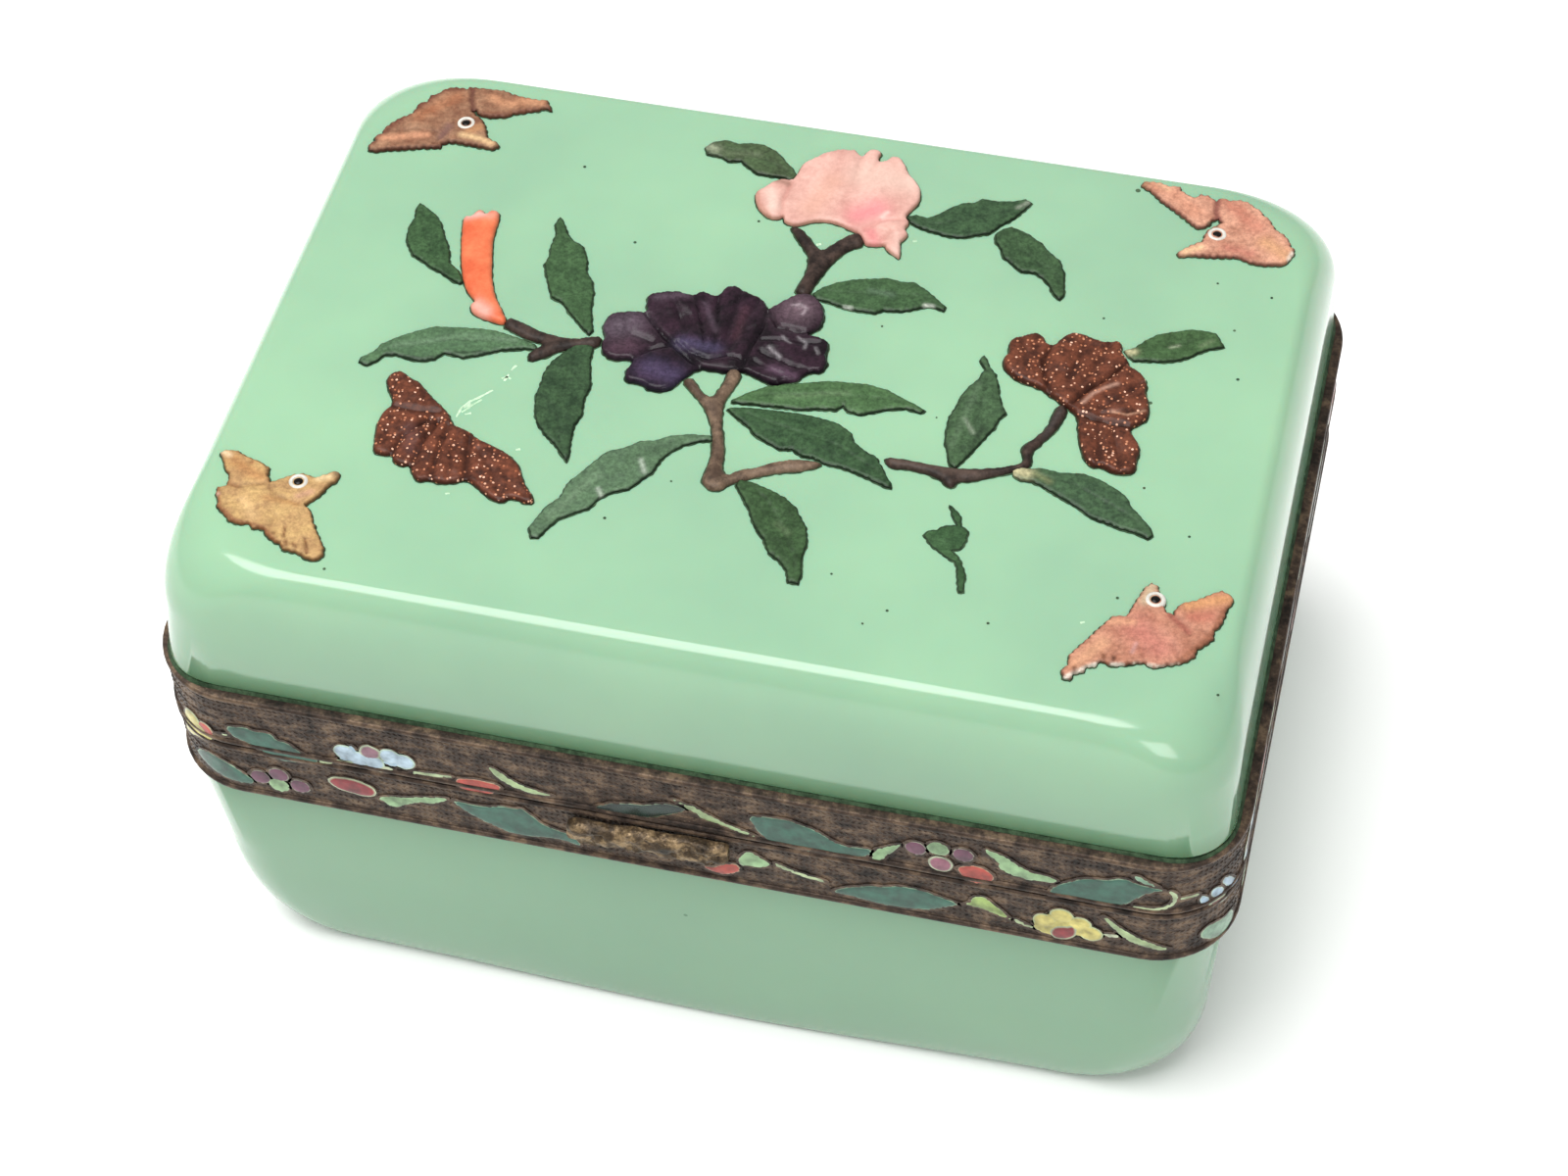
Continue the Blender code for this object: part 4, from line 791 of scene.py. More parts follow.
        (36.6, -7.2), (38.3, -8), (39.6, -8.9), (40.3, -10.1), (41.5, -11.2), (42.6, -12.4),
        (43, -13.3), (42.6, -13.8), (41.3, -13.3), (39.6, -13.1), (38, -12.6), (36.6, -12.3),
        (35.3, -11.4), (33.9, -10.7), (32.3, -9.9), (30.9, -9.2), (29.9, -8.8), (28.8, -8.9),
        (27.9, -8.4)],
    "leaf_15": [(35.9, 11), (36.3, 10.5), (37, 9.9), (38.5, 10.1), (39.9, 10.3), (41.4, 10.8),
        (42.8, 11.7), (43.5, 12.4), (44.4, 13.1), (46, 13.8), (45.5, 14.4), (44.8, 15.5),
        (43.5, 15.6), (42.1, 15.5), (40.8, 14.9), (39.6, 14.4), (38.7, 13.9), (37.8, 13),
        (36.9, 11.7), (36.1, 11.2)],
}


# Positive where the outline runs anticlockwise
def loopArea(loop):
    x, y = loop.T
    return 0.5 * float(np.sum(x * np.roll(y, -1) - np.roll(x, -1) * y))


# Evens a loop out to the given step and roughens it as a saw and a file leave it
def fileLoop(loop, step, rounding=1, wobble=0.05, seed=0.0, grow=0.0, tooth=0.0, pitch=0.8):
    loop = np.asarray(loop, float)
    if loopArea(loop) < 0:
        loop = loop[::-1]
    for _ in range(rounding):
        after = np.roll(loop, -1, 0)
        loop = np.stack([loop * 0.75 + after * 0.25, loop * 0.25 + after * 0.75], 1).reshape(-1, 2)
    after = np.roll(loop, -1, 0)
    points = []
    for start, end in zip(loop, after):
        count = max(1, round(float(np.linalg.norm(end - start)) / step))
        points += [start + (end - start) * i / count for i in range(count)]
    points = np.array(points)
    tangents = np.roll(points, -1, 0) - np.roll(points, 1, 0)
    tangents /= np.maximum(np.linalg.norm(tangents, axis=1, keepdims=True), 1e-9)
    normals = np.stack([tangents[:, 1], -tangents[:, 0]], 1)
    walked = np.cumsum(np.linalg.norm(points - np.roll(points, 1, 0), axis=1))
    push = noiseAt(points, 1.6, seed) * wobble + grow
    push += tooth * (np.abs(np.sin(walked * math.pi / pitch)) - 0.6)
    return points + normals * push[:, None]


def noiseAt(points, pitch, seed):
    return np.array([noise.noise(Vector((x * pitch, y * pitch, seed))) for x, y in points])


def insideLoop(points, loop):
    inside = np.zeros(len(points), bool)
    x, y = points[:, 0], points[:, 1]
    for (ax, ay), (bx, by) in zip(loop, np.roll(loop, -1, 0)):
        if ay != by:
            inside ^= ((ay > y) != (by > y)) & (x < (bx - ax) * (y - ay) / (by - ay) + ax)
    return inside


def lineDistance(points, line, closed=False):
    line = np.asarray(line, float)
    starts = line if closed or len(line) == 1 else line[:-1]
    ends = np.roll(line, -1, 0) if closed or len(line) == 1 else line[1:]
    nearest = np.full(len(points), 1e9)
    for start, end in zip(starts, ends):
        along = end - start
        t = np.clip(((points - start) @ along) / max(float(along @ along), 1e-12), 0, 1)
        nearest = np.minimum(nearest, np.linalg.norm(points - start - t[:, None] * along, axis=1))
    return nearest


# A line widened to a closed loop
def ribbon(line, width):
    line = np.asarray(line, float)
    runs = np.gradient(line, axis=0)
    runs /= np.linalg.norm(runs, axis=1, keepdims=True)
    aside = np.stack([-runs[:, 1], runs[:, 0]], 1) * width / 2
    return np.vstack([line - aside, (line + aside)[::-1]])


# Lays patches over a base of colour, each (line, half width, colour, strength)
def layPatches(points, patches, fill=None):
    colours = np.zeros((len(points), 4))
    if fill:
        colours[:] = linearColour(fill[0])
        colours[:, 3] = fill[1]
    for line, width, colour, strength in patches:
        share = (np.exp(-(lineDistance(points, line) / width) ** 2) * strength)[:, None]
        alpha = colours[:, 3:]
        whole = share + alpha * (1 - share)
        blend = np.array(linearColour(colour))[:3] * share + colours[:, :3] * alpha * (1 - share)
        colours = np.hstack([blend / np.maximum(whole, 1e-6), whole])
    return colours


# Fills a loop with fine triangles, lifts them to a relief and closes it down to a base.
# heightAt(points, edge) gives the top, and layOut(u, v, height) puts it in the room.
def reliefMesh(loop, heightAt, base, layOut, grid=0.34, patches=(), tone=None):
    low, high = loop.min(0), loop.max(0)
    us = np.arange(low[0] + grid / 2, high[0], grid)
    vs = np.arange(low[1] + grid / 2, high[1], grid * 0.866)
    field = np.array([(u + grid / 2 * (k % 2), v) for k, v in enumerate(vs) for u in us])
    field = field.reshape(-1, 2)
    field = field[insideLoop(field, loop)]
    if len(field):
        field = field[lineDistance(field, loop, True) > grid * 0.45]
    start = [Vector(p) for p in loop] + [Vector(p) for p in field]
    flat, _, faces, _, _, _ = delaunay_2d_cdt(start, [], [list(range(len(loop)))], 1, 1e-5)
    flat = np.array([(p.x, p.y) for p in flat])
    used = sorted({v for face in faces for v in face})
    renumber = {old: new for new, old in enumerate(used)}
    flat = flat[used]
    faces = [tuple(renumber[v] for v in face) for face in faces]
    edge = lineDistance(flat, loop, True)
    top = heightAt(flat, edge)
    sides = {p for f in faces for p in zip(f, f[1:] + f[:1])}
    follow = {a: b for a, b in sorted(sides) if (b, a) not in sides}
    points = [layOut(u, v, h) for (u, v), h in zip(flat, top)]
    count = len(points)
    below = {}
    for corner in follow:
        below[corner] = len(points)
        points.append(layOut(flat[corner][0], flat[corner][1], base))
    faces = list(faces) + [(b, a, below[a], below[b]) for a, b in follow.items()]
    waiting = dict(follow)
    while waiting:
        here = next(iter(waiting))
        ring = []
        while here in waiting:
            ring.append(below[here])
            here = waiting.pop(here)
        faces.append(tuple(ring[::-1]))
    spread = list(range(count)) + list(below)
    return points, faces, {
        "edge": np.minimum(edge, 4.0)[spread], "patch": layPatches(flat, patches)[spread],
        "tone": layPatches(flat, (), tone)[spread]}


# Several (points, faces, values) become one
def joinMeshes(parts):
    points, faces, columns = [], [], {}
    for partPoints, partFaces, partValues in parts:
        first = len(points)
        points += partPoints
        faces += [tuple(v + first for v in face) for face in partFaces]
        for key, column in partValues.items():
            columns.setdefault(key, []).append(column)
    return points, faces, {key: np.concatenate(column) for key, column in columns.items()}


# A level top for reliefMesh
def levelTop(height):
    return lambda points, edge: np.full(len(points), height)


def onLid(u, v, height):
    return (u, v, box["glassTop"] + height)


# From the sheet of drawing to the lid
def drawn(line):
    return [(x * drawing["scaleX"], (y + drawing["shiftY"]) * drawing["scaleY"] + box["middleY"])
            for x, y in line]


# What every stone of a kind shares: its finish, slot, height above the glass, the width of its
# rounded edge, how far the edge drops, how much its top swells, the teeth left by the saw, how
# often its outline is rounded, and the colour of the painted shade in its cuts
kinds = {
    "leaf": ("nephrite", "nephrite", 0.4, 0.2, 0.35, 0.12, 0.05, 0, "#141d13"),
    "crumb": ("nephrite", "nephrite", 0.14, 0.2, 0.2, 0.05, 0.08, 0, "#141d13"),
    "twig": ("twig", "twig_stone", 0.6, 0.9, 0.7, 0.08, 0.0, 1, "#120e0b"),
    "branch": ("branch", "twig_stone", 0.6, 0.9, 0.7, 0.08, 0.0, 1, "#120e0b"),
    "coral": ("coral", "coral", 0.85, 1.5, 0.6, 0.08, 0.0, 1, "#a8583a"),
    "amethyst": ("amethyst", "amethyst", 0.75, 0.4, 0.5, 0.35, 0.0, 1, "#0a060a"),
    "rose": ("rose", "rose_stone", 0.65, 0.4, 0.45, 0.3, 0.0, 1, "#a8746a"),
    "goldstone": ("goldstone", "goldstone", 0.75, 0.4, 0.45, 0.25, 0.0, 1, "#26120c"),
    "brownBird": ("brownBird", "brown_soapstone", 0.5, 0.25, 0.4, 0.15, 0.16, 0, "#3c2018"),
    "pinkBird": ("pinkBird", "pink_soapstone", 0.5, 0.25, 0.4, 0.15, 0.14, 0, "#5a352c"),
    "honeyBird": ("honeyBird", "honey_soapstone", 0.5, 0.25, 0.4, 0.15, 0.1, 0, "#5c3e26"),
    "rosyBird": ("rosyBird", "pink_soapstone", 0.5, 0.25, 0.4, 0.15, 0.12, 0, "#613c2d"),
}

# The kind and the tone of each stone. cuts are (line, half width, depth), and patches are
# (line, half width, colour, strength).
stones = {
    "amethyst_blossom": {
        "kind": "amethyst",
        "cuts": [
            ([(-14.4, 5.3), (-12.5, 3.2), (-10.5, 1.5), (-8, -0.3), (-6.8, -1)], 0.3, 0.4),
            ([(-14.3, -1.5), (-12.8, 0.3), (-11, 1.2)], 0.3, 0.3),
            ([(-10, 2), (-8.5, 0.8), (-6.3, 0.2), (-4.4, 1.2), (-3, 1)], 0.25, 0.3),
            ([(-2, 8.8), (-1.9, 6), (-2.4, 3), (-2.6, 0)], 0.3, 0.4),
            ([(-1.9, 8.5), (-0.3, 6.4), (2.6, 6.1)], 0.3, 0.4),
            ([(-1.5, 4), (1, 4.4), (4.6, 5)], 0.25, 0.2),
            ([(-1.2, 2.4), (2, 1.2), (5, 1)], 0.25, 0.25),
            ([(-1.6, 1), (1.6, -0.4)], 0.25, 0.2), ([(-7.6, 9.8), (-6.6, 5), (-6, 1.6)], 0.25, 0.3),
            ([(-10, 8.9), (-8.3, 5), (-7.2, 2.2)], 0.25, 0.3),
            ([(-3, 10.3), (-4, 6), (-4.5, 2)], 0.3, 0.2),
            ([(-5.3, 11), (-5.2, 6), (-5.2, 2)], 0.25, 0.2),
            ([(-12.5, 8.6), (-9.6, 3.6)], 0.3, 0.2),
            ([(1.3, 9)], 0.5, 0.2), ([(-16.8, 5), (-15.4, 2.2), (-12.6, 1.4)], 0.3, 0.2),
        ],
        "patches": [
            ([(-17, 2.5), (-15.5, 3.5)], 1.8, "#5c4f59", 0.6),
            ([(-16, -0.2), (-15, 0.4)], 1.2, "#513b46", 0.5),
            ([(-12, -2.5), (-9.5, -2.8)], 1.5, "#463c57", 0.6),
            ([(-9.5, 2), (-6, 1.8)], 0.9, "#48415c", 0.55),
            ([(1.2, 9.2)], 2.1, "#67545c", 0.75),
            ([(0.6, 9.6), (1.3, 9.9), (2.1, 9.4), (1.9, 8.5)], 0.2, "#8f8287", 0.7),
            ([(-0.4, 3.1), (1, 2)], 0.2, "#7d787b", 0.8),
            ([(0.6, 4.8), (1.6, 4.1)], 0.16, "#7d787b", 0.7),
            ([(2.2, 5.2), (3.2, 4.7), (3.2, 3.8)], 0.16, "#7d787b", 0.7),
            ([(4.3, 4.2), (4.8, 3.4)], 0.15, "#747072", 0.7),
            ([(0.5, 0.2), (3.2, -0.4)], 0.6, "#5c4556", 0.55),
            ([(-13.8, 7.7), (-11, 8.6)], 0.6, "#51434d", 0.6),
            ([(-8.6, 8), (-6.6, 4.4)], 0.35, "#52434e", 0.5),
            ([(-4.2, 8), (-4.3, 4)], 0.5, "#482f37", 0.5),
        ]},
    "pink_blossom": {
        "kind": "rose",
        "cuts": [
            ([(2.7, 33.5), (2.8, 30), (2.2, 27)], 0.3, 0.18), ([(4.6, 33.4), (4.2, 31)], 0.25, 0.2),
            ([(-3.9, 22.9), (-4.3, 25), (-3.9, 28)], 0.3, 0.25),
            ([(3.5, 29.5), (2.4, 26.4), (3.6, 23.4)], 0.5, 0.12),
            ([(5.6, 22.4), (7, 24.2), (9.4, 24.8)], 0.3, 0.2),
            ([(8, 31.8), (6.4, 28.6)], 0.4, 0.12),
            ([(0.8, 33.8), (0.2, 29), (-0.6, 24)], 0.6, 0.1),
            ([(7.6, 21.2), (8.4, 22.8)], 0.25, 0.2),
        ],
        "patches": [
            ([(-5.8, 26), (-5, 23.6)], 0.7, "#ceb4a7", 0.8),
            # Painted shade under the left knob
            ([(-5.7, 27.8), (-4.3, 27.6)], 0.4, "#856356", 0.8),
            ([(-7.4, 25.9), (-6.7, 23.9), (-5.2, 22.4)], 0.3, "#9b6856", 0.6),
            ([(3.6, 30.8), (8.5, 30.6)], 2.2, "#c9ac9e", 0.7),
            ([(4.4, 24.4), (6, 25.6)], 1.6, "#c77b7d", 0.85),
            ([(6.2, 22), (6.9, 20.8)], 0.8, "#c06f71", 0.7),
            ([(9, 22.4), (9.6, 20)], 0.6, "#ceaca0", 0.6),
            # A painted highlight on the deep pink
            ([(6.9, 24.7), (7.3, 25.4)], 0.3, "#d3beb3", 0.6),
            ([(0.4, 29), (-1, 24.5)], 1.4, "#c59885", 0.5),
        ]},
    "goldstone_blossom": {
        "kind": "goldstone",
        "cuts": [
            ([(28.4, 10.2), (27.8, 7.5), (28.6, 5), (29.5, 3.3)], 0.3, 0.4),
            ([(36.6, 9.4), (35.2, 7), (33.5, 5), (32, 2.4)], 0.3, 0.4),
            ([(33, 0.8), (35.5, 0.5), (38.3, 0.3)], 0.3, 0.4),
            ([(31.7, 12), (31.5, 8), (31, 5)], 0.4, 0.2),
            ([(34.4, 11.4), (33.4, 8), (32.4, 5.2)], 0.35, 0.2),
            ([(38.5, 6.6), (36.8, 4.2), (34.8, 2.2)], 0.3, 0.2),
            ([(39.6, 3), (37, 1.9), (35, 1.4)], 0.25, 0.2),
            ([(36, -5.5), (35.6, -2.5), (35, 0)], 0.3, 0.2),
            ([(38.4, -5.6), (37.4, -2.5), (36.4, 0)], 0.3, 0.2),
            ([(25, 10.4), (26.2, 7.6)], 0.3, 0.15),
        ],
        "patches": [
            ([(33, 2.4), (33.8, 4), (34.8, 5), (36, 5.8)], 0.22, "#ab8574", 0.7),
            ([(36.2, 1.9), (37.8, 1.7), (39.4, 2.8)], 0.16, "#b38970", 0.7),
        ]},
    "butterfly": {
        "kind": "goldstone", "height": 0.6,
        "cuts": [
            ([(-36.9, -13), (-34.4, -13.2), (-31.6, -12.8)], 0.35, 0.25),
            ([(-34.8, -19.3), (-34.3, -16.6), (-32.4, -13.8)], 0.3, 0.35),
            ([(-32.3, -20.5), (-32.2, -17.4), (-31.4, -14)], 0.28, 0.35),
            ([(-29.9, -21.8), (-30.2, -18), (-30.2, -14.4)], 0.28, 0.3),
            ([(-28.2, -21.6), (-28.6, -18), (-29, -15)], 0.25, 0.15),
            ([(-26.4, -20.9), (-27, -18.4), (-27.6, -15.4)], 0.35, 0.35),
            ([(-22.2, -22.6), (-24, -19.6), (-26.2, -17)], 0.35, 0.15),
        ],
        "patches": [([(-34, -15.6), (-33, -18.6)], 0.7, "#5c3e3b", 0.4)]},
    "coral_bar": {
        "kind": "coral", "cuts": [([(-36.6, 8), (-33.2, 9.6)], 0.3, 0.06)],
        "patches": [
            ([(-37, 15.3), (-35.6, 15.9)], 0.7, "#cca399", 0.85),
            ([(-34.2, 16.6), (-34.6, 15.6)], 0.5, "#ce927e", 0.6),
            ([(-32.4, 2.6), (-31.2, 1.9)], 0.9, "#c99e91", 0.8),
        ]},
    "left_twig": {"kind": "twig"},
    "upper_twig": {"kind": "twig"},
    "main_branch": {"kind": "branch", "patches": [
        ([(-1.7, -15.4), (-2.2, -11.5)], 0.5, "#362821", 0.6),
        ([(-3.6, -7), (-4.4, -5.6)], 0.5, "#362a24", 0.6),
        ([(-7.4, -3.4), (-5.6, -5)], 0.5, "#322621", 0.6),
        ([(2, -13.9), (6, -12.2)], 0.3, "#725e4f", 0.5)]},
    "right_branch": {"kind": "twig", "patches": [
        ([(15.6, -9.3), (24.4, -9.3)], 0.45, "#51433b", 0.6),
        ([(30, -3), (30.9, 1)], 0.3, "#3c3937", 0.5)]},
    "back_left_bird": {
        "kind": "brownBird",
        "cuts": [
            ([(-42.6, 35), (-42.3, 33.5), (-41.5, 31.8)], 0.3, 0.25),
            ([(-50, 26.4), (-47, 27.4), (-44.4, 27.4)], 0.22, 0.12),
            ([(-44.4, 25.6), (-43.9, 27), (-43, 28.6)], 0.25, 0.15),
            ([(-47.6, 31), (-45.4, 30.4)], 0.2, 0.1), ([(-46.2, 33), (-44.6, 31.8)], 0.2, 0.1),
            ([(-39, 35), (-38.4, 33.4)], 0.2, 0.1), ([(-36.6, 34.6), (-36.4, 33.4)], 0.2, 0.1),
        ],
        "patches": [
            ([(-44, 33.4), (-47.2, 29.6)], 1.0, "#986041", 0.5),
            ([(-51, 24.4), (-49.6, 27.6), (-47.8, 31), (-46, 34),
              (-43, 35.2)], 0.42, "#592f24", 0.75),
            ([(-50, 25.2), (-48, 26), (-45.6, 26.7)], 0.55, "#b98567", 0.8),
            ([(-42.6, 35), (-42.3, 33.5), (-41.6, 31.8)], 0.35, "#59342b", 0.7),
            ([(-40, 34), (-37.8, 33.3), (-36.6, 34.3), (-34.6, 34.6)], 0.7, "#af7e5e", 0.75),
            ([(-40.2, 31.5), (-37.6, 32), (-34.6, 33.7)], 0.3, "#6a412f", 0.7),
            ([(-43.8, 26.8), (-43.5, 28.6)], 0.55, "#614545", 0.6),
            ([(-41.6, 27.6), (-39.6, 27.4), (-38, 27)], 0.45, "#c2a279", 0.9),
            ([(-41, 28.4), (-40, 29.2)], 0.6, "#a77951", 0.6),
        ]},
    "back_right_bird": {
        "kind": "pinkBird",
        "cuts": [
            ([(41.9, 35), (41.9, 33.5), (42.3, 32.2)], 0.3, 0.25),
            ([(45.9, 34.3), (45, 32.4)], 0.2, 0.12), ([(47.8, 32.2), (46.4, 30.6)], 0.2, 0.12),
            ([(50.2, 30), (48.4, 29)], 0.2, 0.1), ([(46.4, 26.8), (46.2, 28.4)], 0.25, 0.12),
            ([(37.6, 35.6), (37.2, 34.2)], 0.2, 0.1), ([(39.4, 34.8), (39.2, 33)], 0.2, 0.1),
        ],
        "patches": [
            ([(34.4, 36), (36.5, 35.3), (39.8, 32.8)], 0.8, "#b88067", 0.6),
            ([(33.8, 36)], 0.6, "#7d6045", 0.6), ([(35.3, 36), (36.4, 35.5)], 0.35, "#c39979", 0.7),
            ([(43.6, 34.3), (46.6, 31.8)], 1.2, "#aa6857", 0.5),
            ([(48, 29.6), (50.2, 28.2)], 1.0, "#bd8f6a", 0.75),
            ([(44, 28), (46.6, 27.7)], 0.7, "#a06154", 0.6),
            ([(41.9, 35), (41.9, 33.5), (42.3, 32.2)], 0.4, "#714039", 0.75),
            ([(39.6, 26.5), (41.2, 27.5)], 0.45, "#c9a580", 0.85),
            ([(41.5, 31.4), (42.4, 31.6), (42.3, 31)], 0.22, "#484532", 0.8),
            ([(50.9, 28.9), (50.6, 27.7)], 0.2, "#c9c0b3", 0.9),
        ]},
    "front_left_bird": {
        "kind": "honeyBird",
        "cuts": [
            ([(-46, -25.9), (-44.6, -27.4), (-42, -27.9)], 0.25, 0.2),
            ([(-50, -26.9), (-48.7, -26.9), (-46.4, -26)], 0.25, 0.2),
            ([(-49.6, -29.6), (-47.6, -28.6)], 0.2, 0.12),
            ([(-46.6, -31), (-45.8, -29)], 0.25, 0.12),
            ([(-43.9, -31.9), (-43.6, -30)], 0.25, 0.12),
            ([(-42.3, -31.1), (-42, -32.4)], 0.15, 0.15),
            ([(-39.8, -32.2), (-39, -34)], 0.15, 0.15), ([(-51, -24.4), (-48.6, -23.6)], 0.2, 0.1),
        ],
        "patches": [
            ([(-50.5, -23.6), (-48.4, -24.8), (-47, -25.2)], 0.8, "#9d6f45", 0.75),
            ([(-51.7, -22.9), (-51, -23.2)], 0.35, "#c5ad8c", 0.8),
            ([(-48.4, -23.6)], 0.28, "#7d4e30", 0.8),
            ([(-50.4, -22.5), (-47, -23.5), (-46.3, -25)], 0.18, "#5c402a", 0.7),
            ([(-50, -26.8), (-48.9, -26.9)], 0.35, "#7d5635", 0.7),
            ([(-50.7, -27.6), (-49.7, -30), (-47.8, -31.3), (-44.6, -31.6), (-42, -33.6)], 0.26,
             "#71432a", 0.75),
            ([(-50.4, -28.4)], 0.22, "#be9988", 0.8), ([(-43.1, -32.2)], 0.26, "#613c23", 0.8),
            ([(-42.3, -31.1), (-42, -32.4)], 0.14, "#613c23", 0.8),
            ([(-41.6, -33), (-41.4, -33.4)], 0.26, "#613c23", 0.8),
            ([(-40.8, -33.1), (-40.3, -33.5)], 0.2, "#613c23", 0.8),
            ([(-39.8, -32.2), (-39, -34)], 0.16, "#613c23", 0.8),
            ([(-41, -24.3), (-40, -23.8)], 0.4, "#cab188", 0.85),
            ([(-39.4, -23.3)], 0.35, "#5c513e", 0.8),
            ([(-42.3, -27), (-41.2, -26.2)], 0.45, "#b38871", 0.6),
            ([(-45.5, -27.9), (-42.2, -28)], 0.4, "#a3794c", 0.6),
            ([(-47.6, -28.6), (-46, -30.4)], 0.6, "#c5a374", 0.6),
        ]},
    "front_right_bird": {
        "kind": "rosyBird",
        "cuts": [
            ([(46.5, -23.2), (48, -24), (48.6, -25.2)], 0.28, 0.2),
            ([(41, -29.2), (41.1, -30.2)], 0.22, 0.25), ([(42, -29.2), (42, -30)], 0.22, 0.25),
            ([(44.8, -29.6), (44.6, -27.6)], 0.22, 0.15), ([(46.4, -29.4), (46, -27.8)], 0.2, 0.12),
            ([(48.3, -28.4), (47.2, -26.8)], 0.2, 0.12), ([(39, -31.6), (40.2, -29.4)], 0.2, 0.1),
            ([(50.8, -25), (49.4, -24.2)], 0.2, 0.1), ([(42.4, -24.6), (44.4, -23.8)], 0.22, 0.12),
        ],
        "patches": [
            ([(43.6, -25.6), (46, -27.4)], 1.8, "#a5655b", 0.65),
            ([(44.1, -20), (43.7, -22)], 0.6, "#aa987d", 0.85),
            ([(48, -21.5), (51.5, -20)], 0.8, "#b48257", 0.75),
            ([(48.6, -23), (50.2, -22.6)], 0.8, "#a56151", 0.6),
            ([(38.5, -31.2), (40.6, -28)], 0.8, "#bb8c6d", 0.75),
            ([(41, -25.2), (43, -24.8)], 0.45, "#b9886a", 0.7),
            ([(46.5, -23.3), (48.4, -24.8)], 0.45, "#8d4c43", 0.6),
            ([(51.4, -21.6), (50.8, -24.6), (49.4, -27), (48.2, -28.6)], 0.32, "#7b4c37", 0.75),
            ([(37.8, -33), (38.7, -32.1), (39.7, -31.2), (40.8, -30.5)], 0.2, "#ccc3b6", 0.95),
            ([(41.9, -30.35), (43, -30.2)], 0.15, "#ccc3b6", 0.9),
            ([(44, -29.75), (46.7, -29.6), (48.3, -28.9)], 0.13, "#c9bdad", 0.85),
            ([(38.5, -31.6), (38.6, -32)], 0.26, "#5b3625", 0.8),
            ([(41, -29.4), (41, -29.8)], 0.24, "#5b3625", 0.8),
            ([(42, -29.6)], 0.26, "#41251b", 0.9),
            ([(43.6, -28.6), (43.8, -27.4)], 0.2, "#b98f8a", 0.6),
        ]},
    "leaf_01": {"tone": "#3e4932", "patches": [
        ([(-14.2, 31.6), (-13.4, 31.4)], 0.6, "#838a73", 0.8),
        ([(-12.4, 31), (-8.6, 31.6)], 0.5, "#556048", 0.6)]},
    "leaf_02": {"tone": "#2c402c", "patches": [
        ([(20.9, 29.4), (21.9, 30.5)], 0.25, "#7f8677", 0.7)]},
    "leaf_03": {"tone": "#2f432c"},
    "leaf_04": {"tone": "#344b30", "patches": [
        ([(14.2, 12.9), (14.9, 12.9)], 0.25, "#a7aba0", 0.9),
        ([(5.9, 10.9), (6.6, 10.9)], 0.2, "#9fa499", 0.9),
        ([(8, 13.8), (10.4, 13.6)], 0.4, "#4c604c", 0.6)]},
    "leaf_05": {"tone": "#2f472c"},
    "leaf_06": {"tone": "#344c30"},
    "leaf_07": {"tone": "#486247", "patches": [
        ([(-39.5, -5.9), (-35.4, -5.9), (-33.2, -4.5), (-29.5, -3.6)], 0.22, "#202b20", 0.7),
        ([(-39, -4.6), (-32, -1.6), (-27, -1.3)], 0.5, "#5c745a", 0.5)]},
    "leaf_08": {"tone": "#283b28", "striae": 0.03},
    "leaf_09": {"tone": "#4f654e", "patches": [
        ([(-9.6, -14.6), (-8.8, -16.2)], 0.25, "#9aa496", 0.7),
        ([(-12.8, -19.4), (-12, -20.6)], 0.25, "#9aa496", 0.7),
        ([(-13.5, -17.5), (-16.5, -24)], 0.6, "#60765c", 0.5),
        ([(-7, -12.5), (-11, -14.6)], 0.5, "#3d523b", 0.5)]},
    "leaf_10": {"tone": "#3f5a38", "patches": [
        ([(9, -3.2)], 0.3, "#1f281e", 0.8), ([(2, -3.2), (9, -1.2)], 0.4, "#59704f", 0.5)]},
    "leaf_11": {"tone": "#293f29", "patches": [([(0, -5.8), (8, -8)], 0.4, "#354f32", 0.6)]},
    "leaf_12": {"tone": "#2c4026", "striae": 0.02, "patches": [
        ([(6, -20), (7.4, -21)], 0.4, "#4d5f42", 0.6)]},
    "leaf_13": {"tone": "#384c35", "patches": [
        ([(21.5, -2), (22.8, -3.8)], 0.25, "#778370", 0.7),
        ([(23, -5.6), (23.6, -3)], 0.35, "#1e291d", 0.6),
        ([(21, -6), (22, 3)], 0.4, "#4c6048", 0.5)]},
    "leaf_14": {"tone": "#344834", "patches": [
        ([(28, -7.9), (29.2, -8)], 0.7, "#b4ac85", 0.8),
        ([(30, -7.8), (31.6, -8.6)], 0.4, "#707451", 0.6)]},
    "leaf_15": {"tone": "#364d2e", "patches": [
        ([(36.1, 10.8), (36.8, 10.9)], 0.5, "#ada783", 0.8),
        ([(40.5, 12.4), (41.3, 12.9)], 0.2, "#869177", 0.7),
        ([(43.6, 13.2), (44.6, 14.2)], 0.3, "#607052", 0.6)]},
    "leaf_fragment": {"kind": "crumb", "tone": "#2c462b"},
}


# The line half-way between a leaf's two sides
def middleLine(loop):
    middle = loop.mean(0)
    along = np.linalg.svd(loop - middle, full_matrices=False)[2][0]
    across = np.array((-along[1], along[0]))
    run, side = (loop - middle) @ along, (loop - middle) @ across
    line = []
    for share in np.linspace(0.1, 0.9, 7):
        place = run.min() + share * (run.max() - run.min())
        near = side[np.abs(run - place) < 0.8]
        line.append(middle + along * place + across * (near.min() + near.max()) / 2)
    return line, across
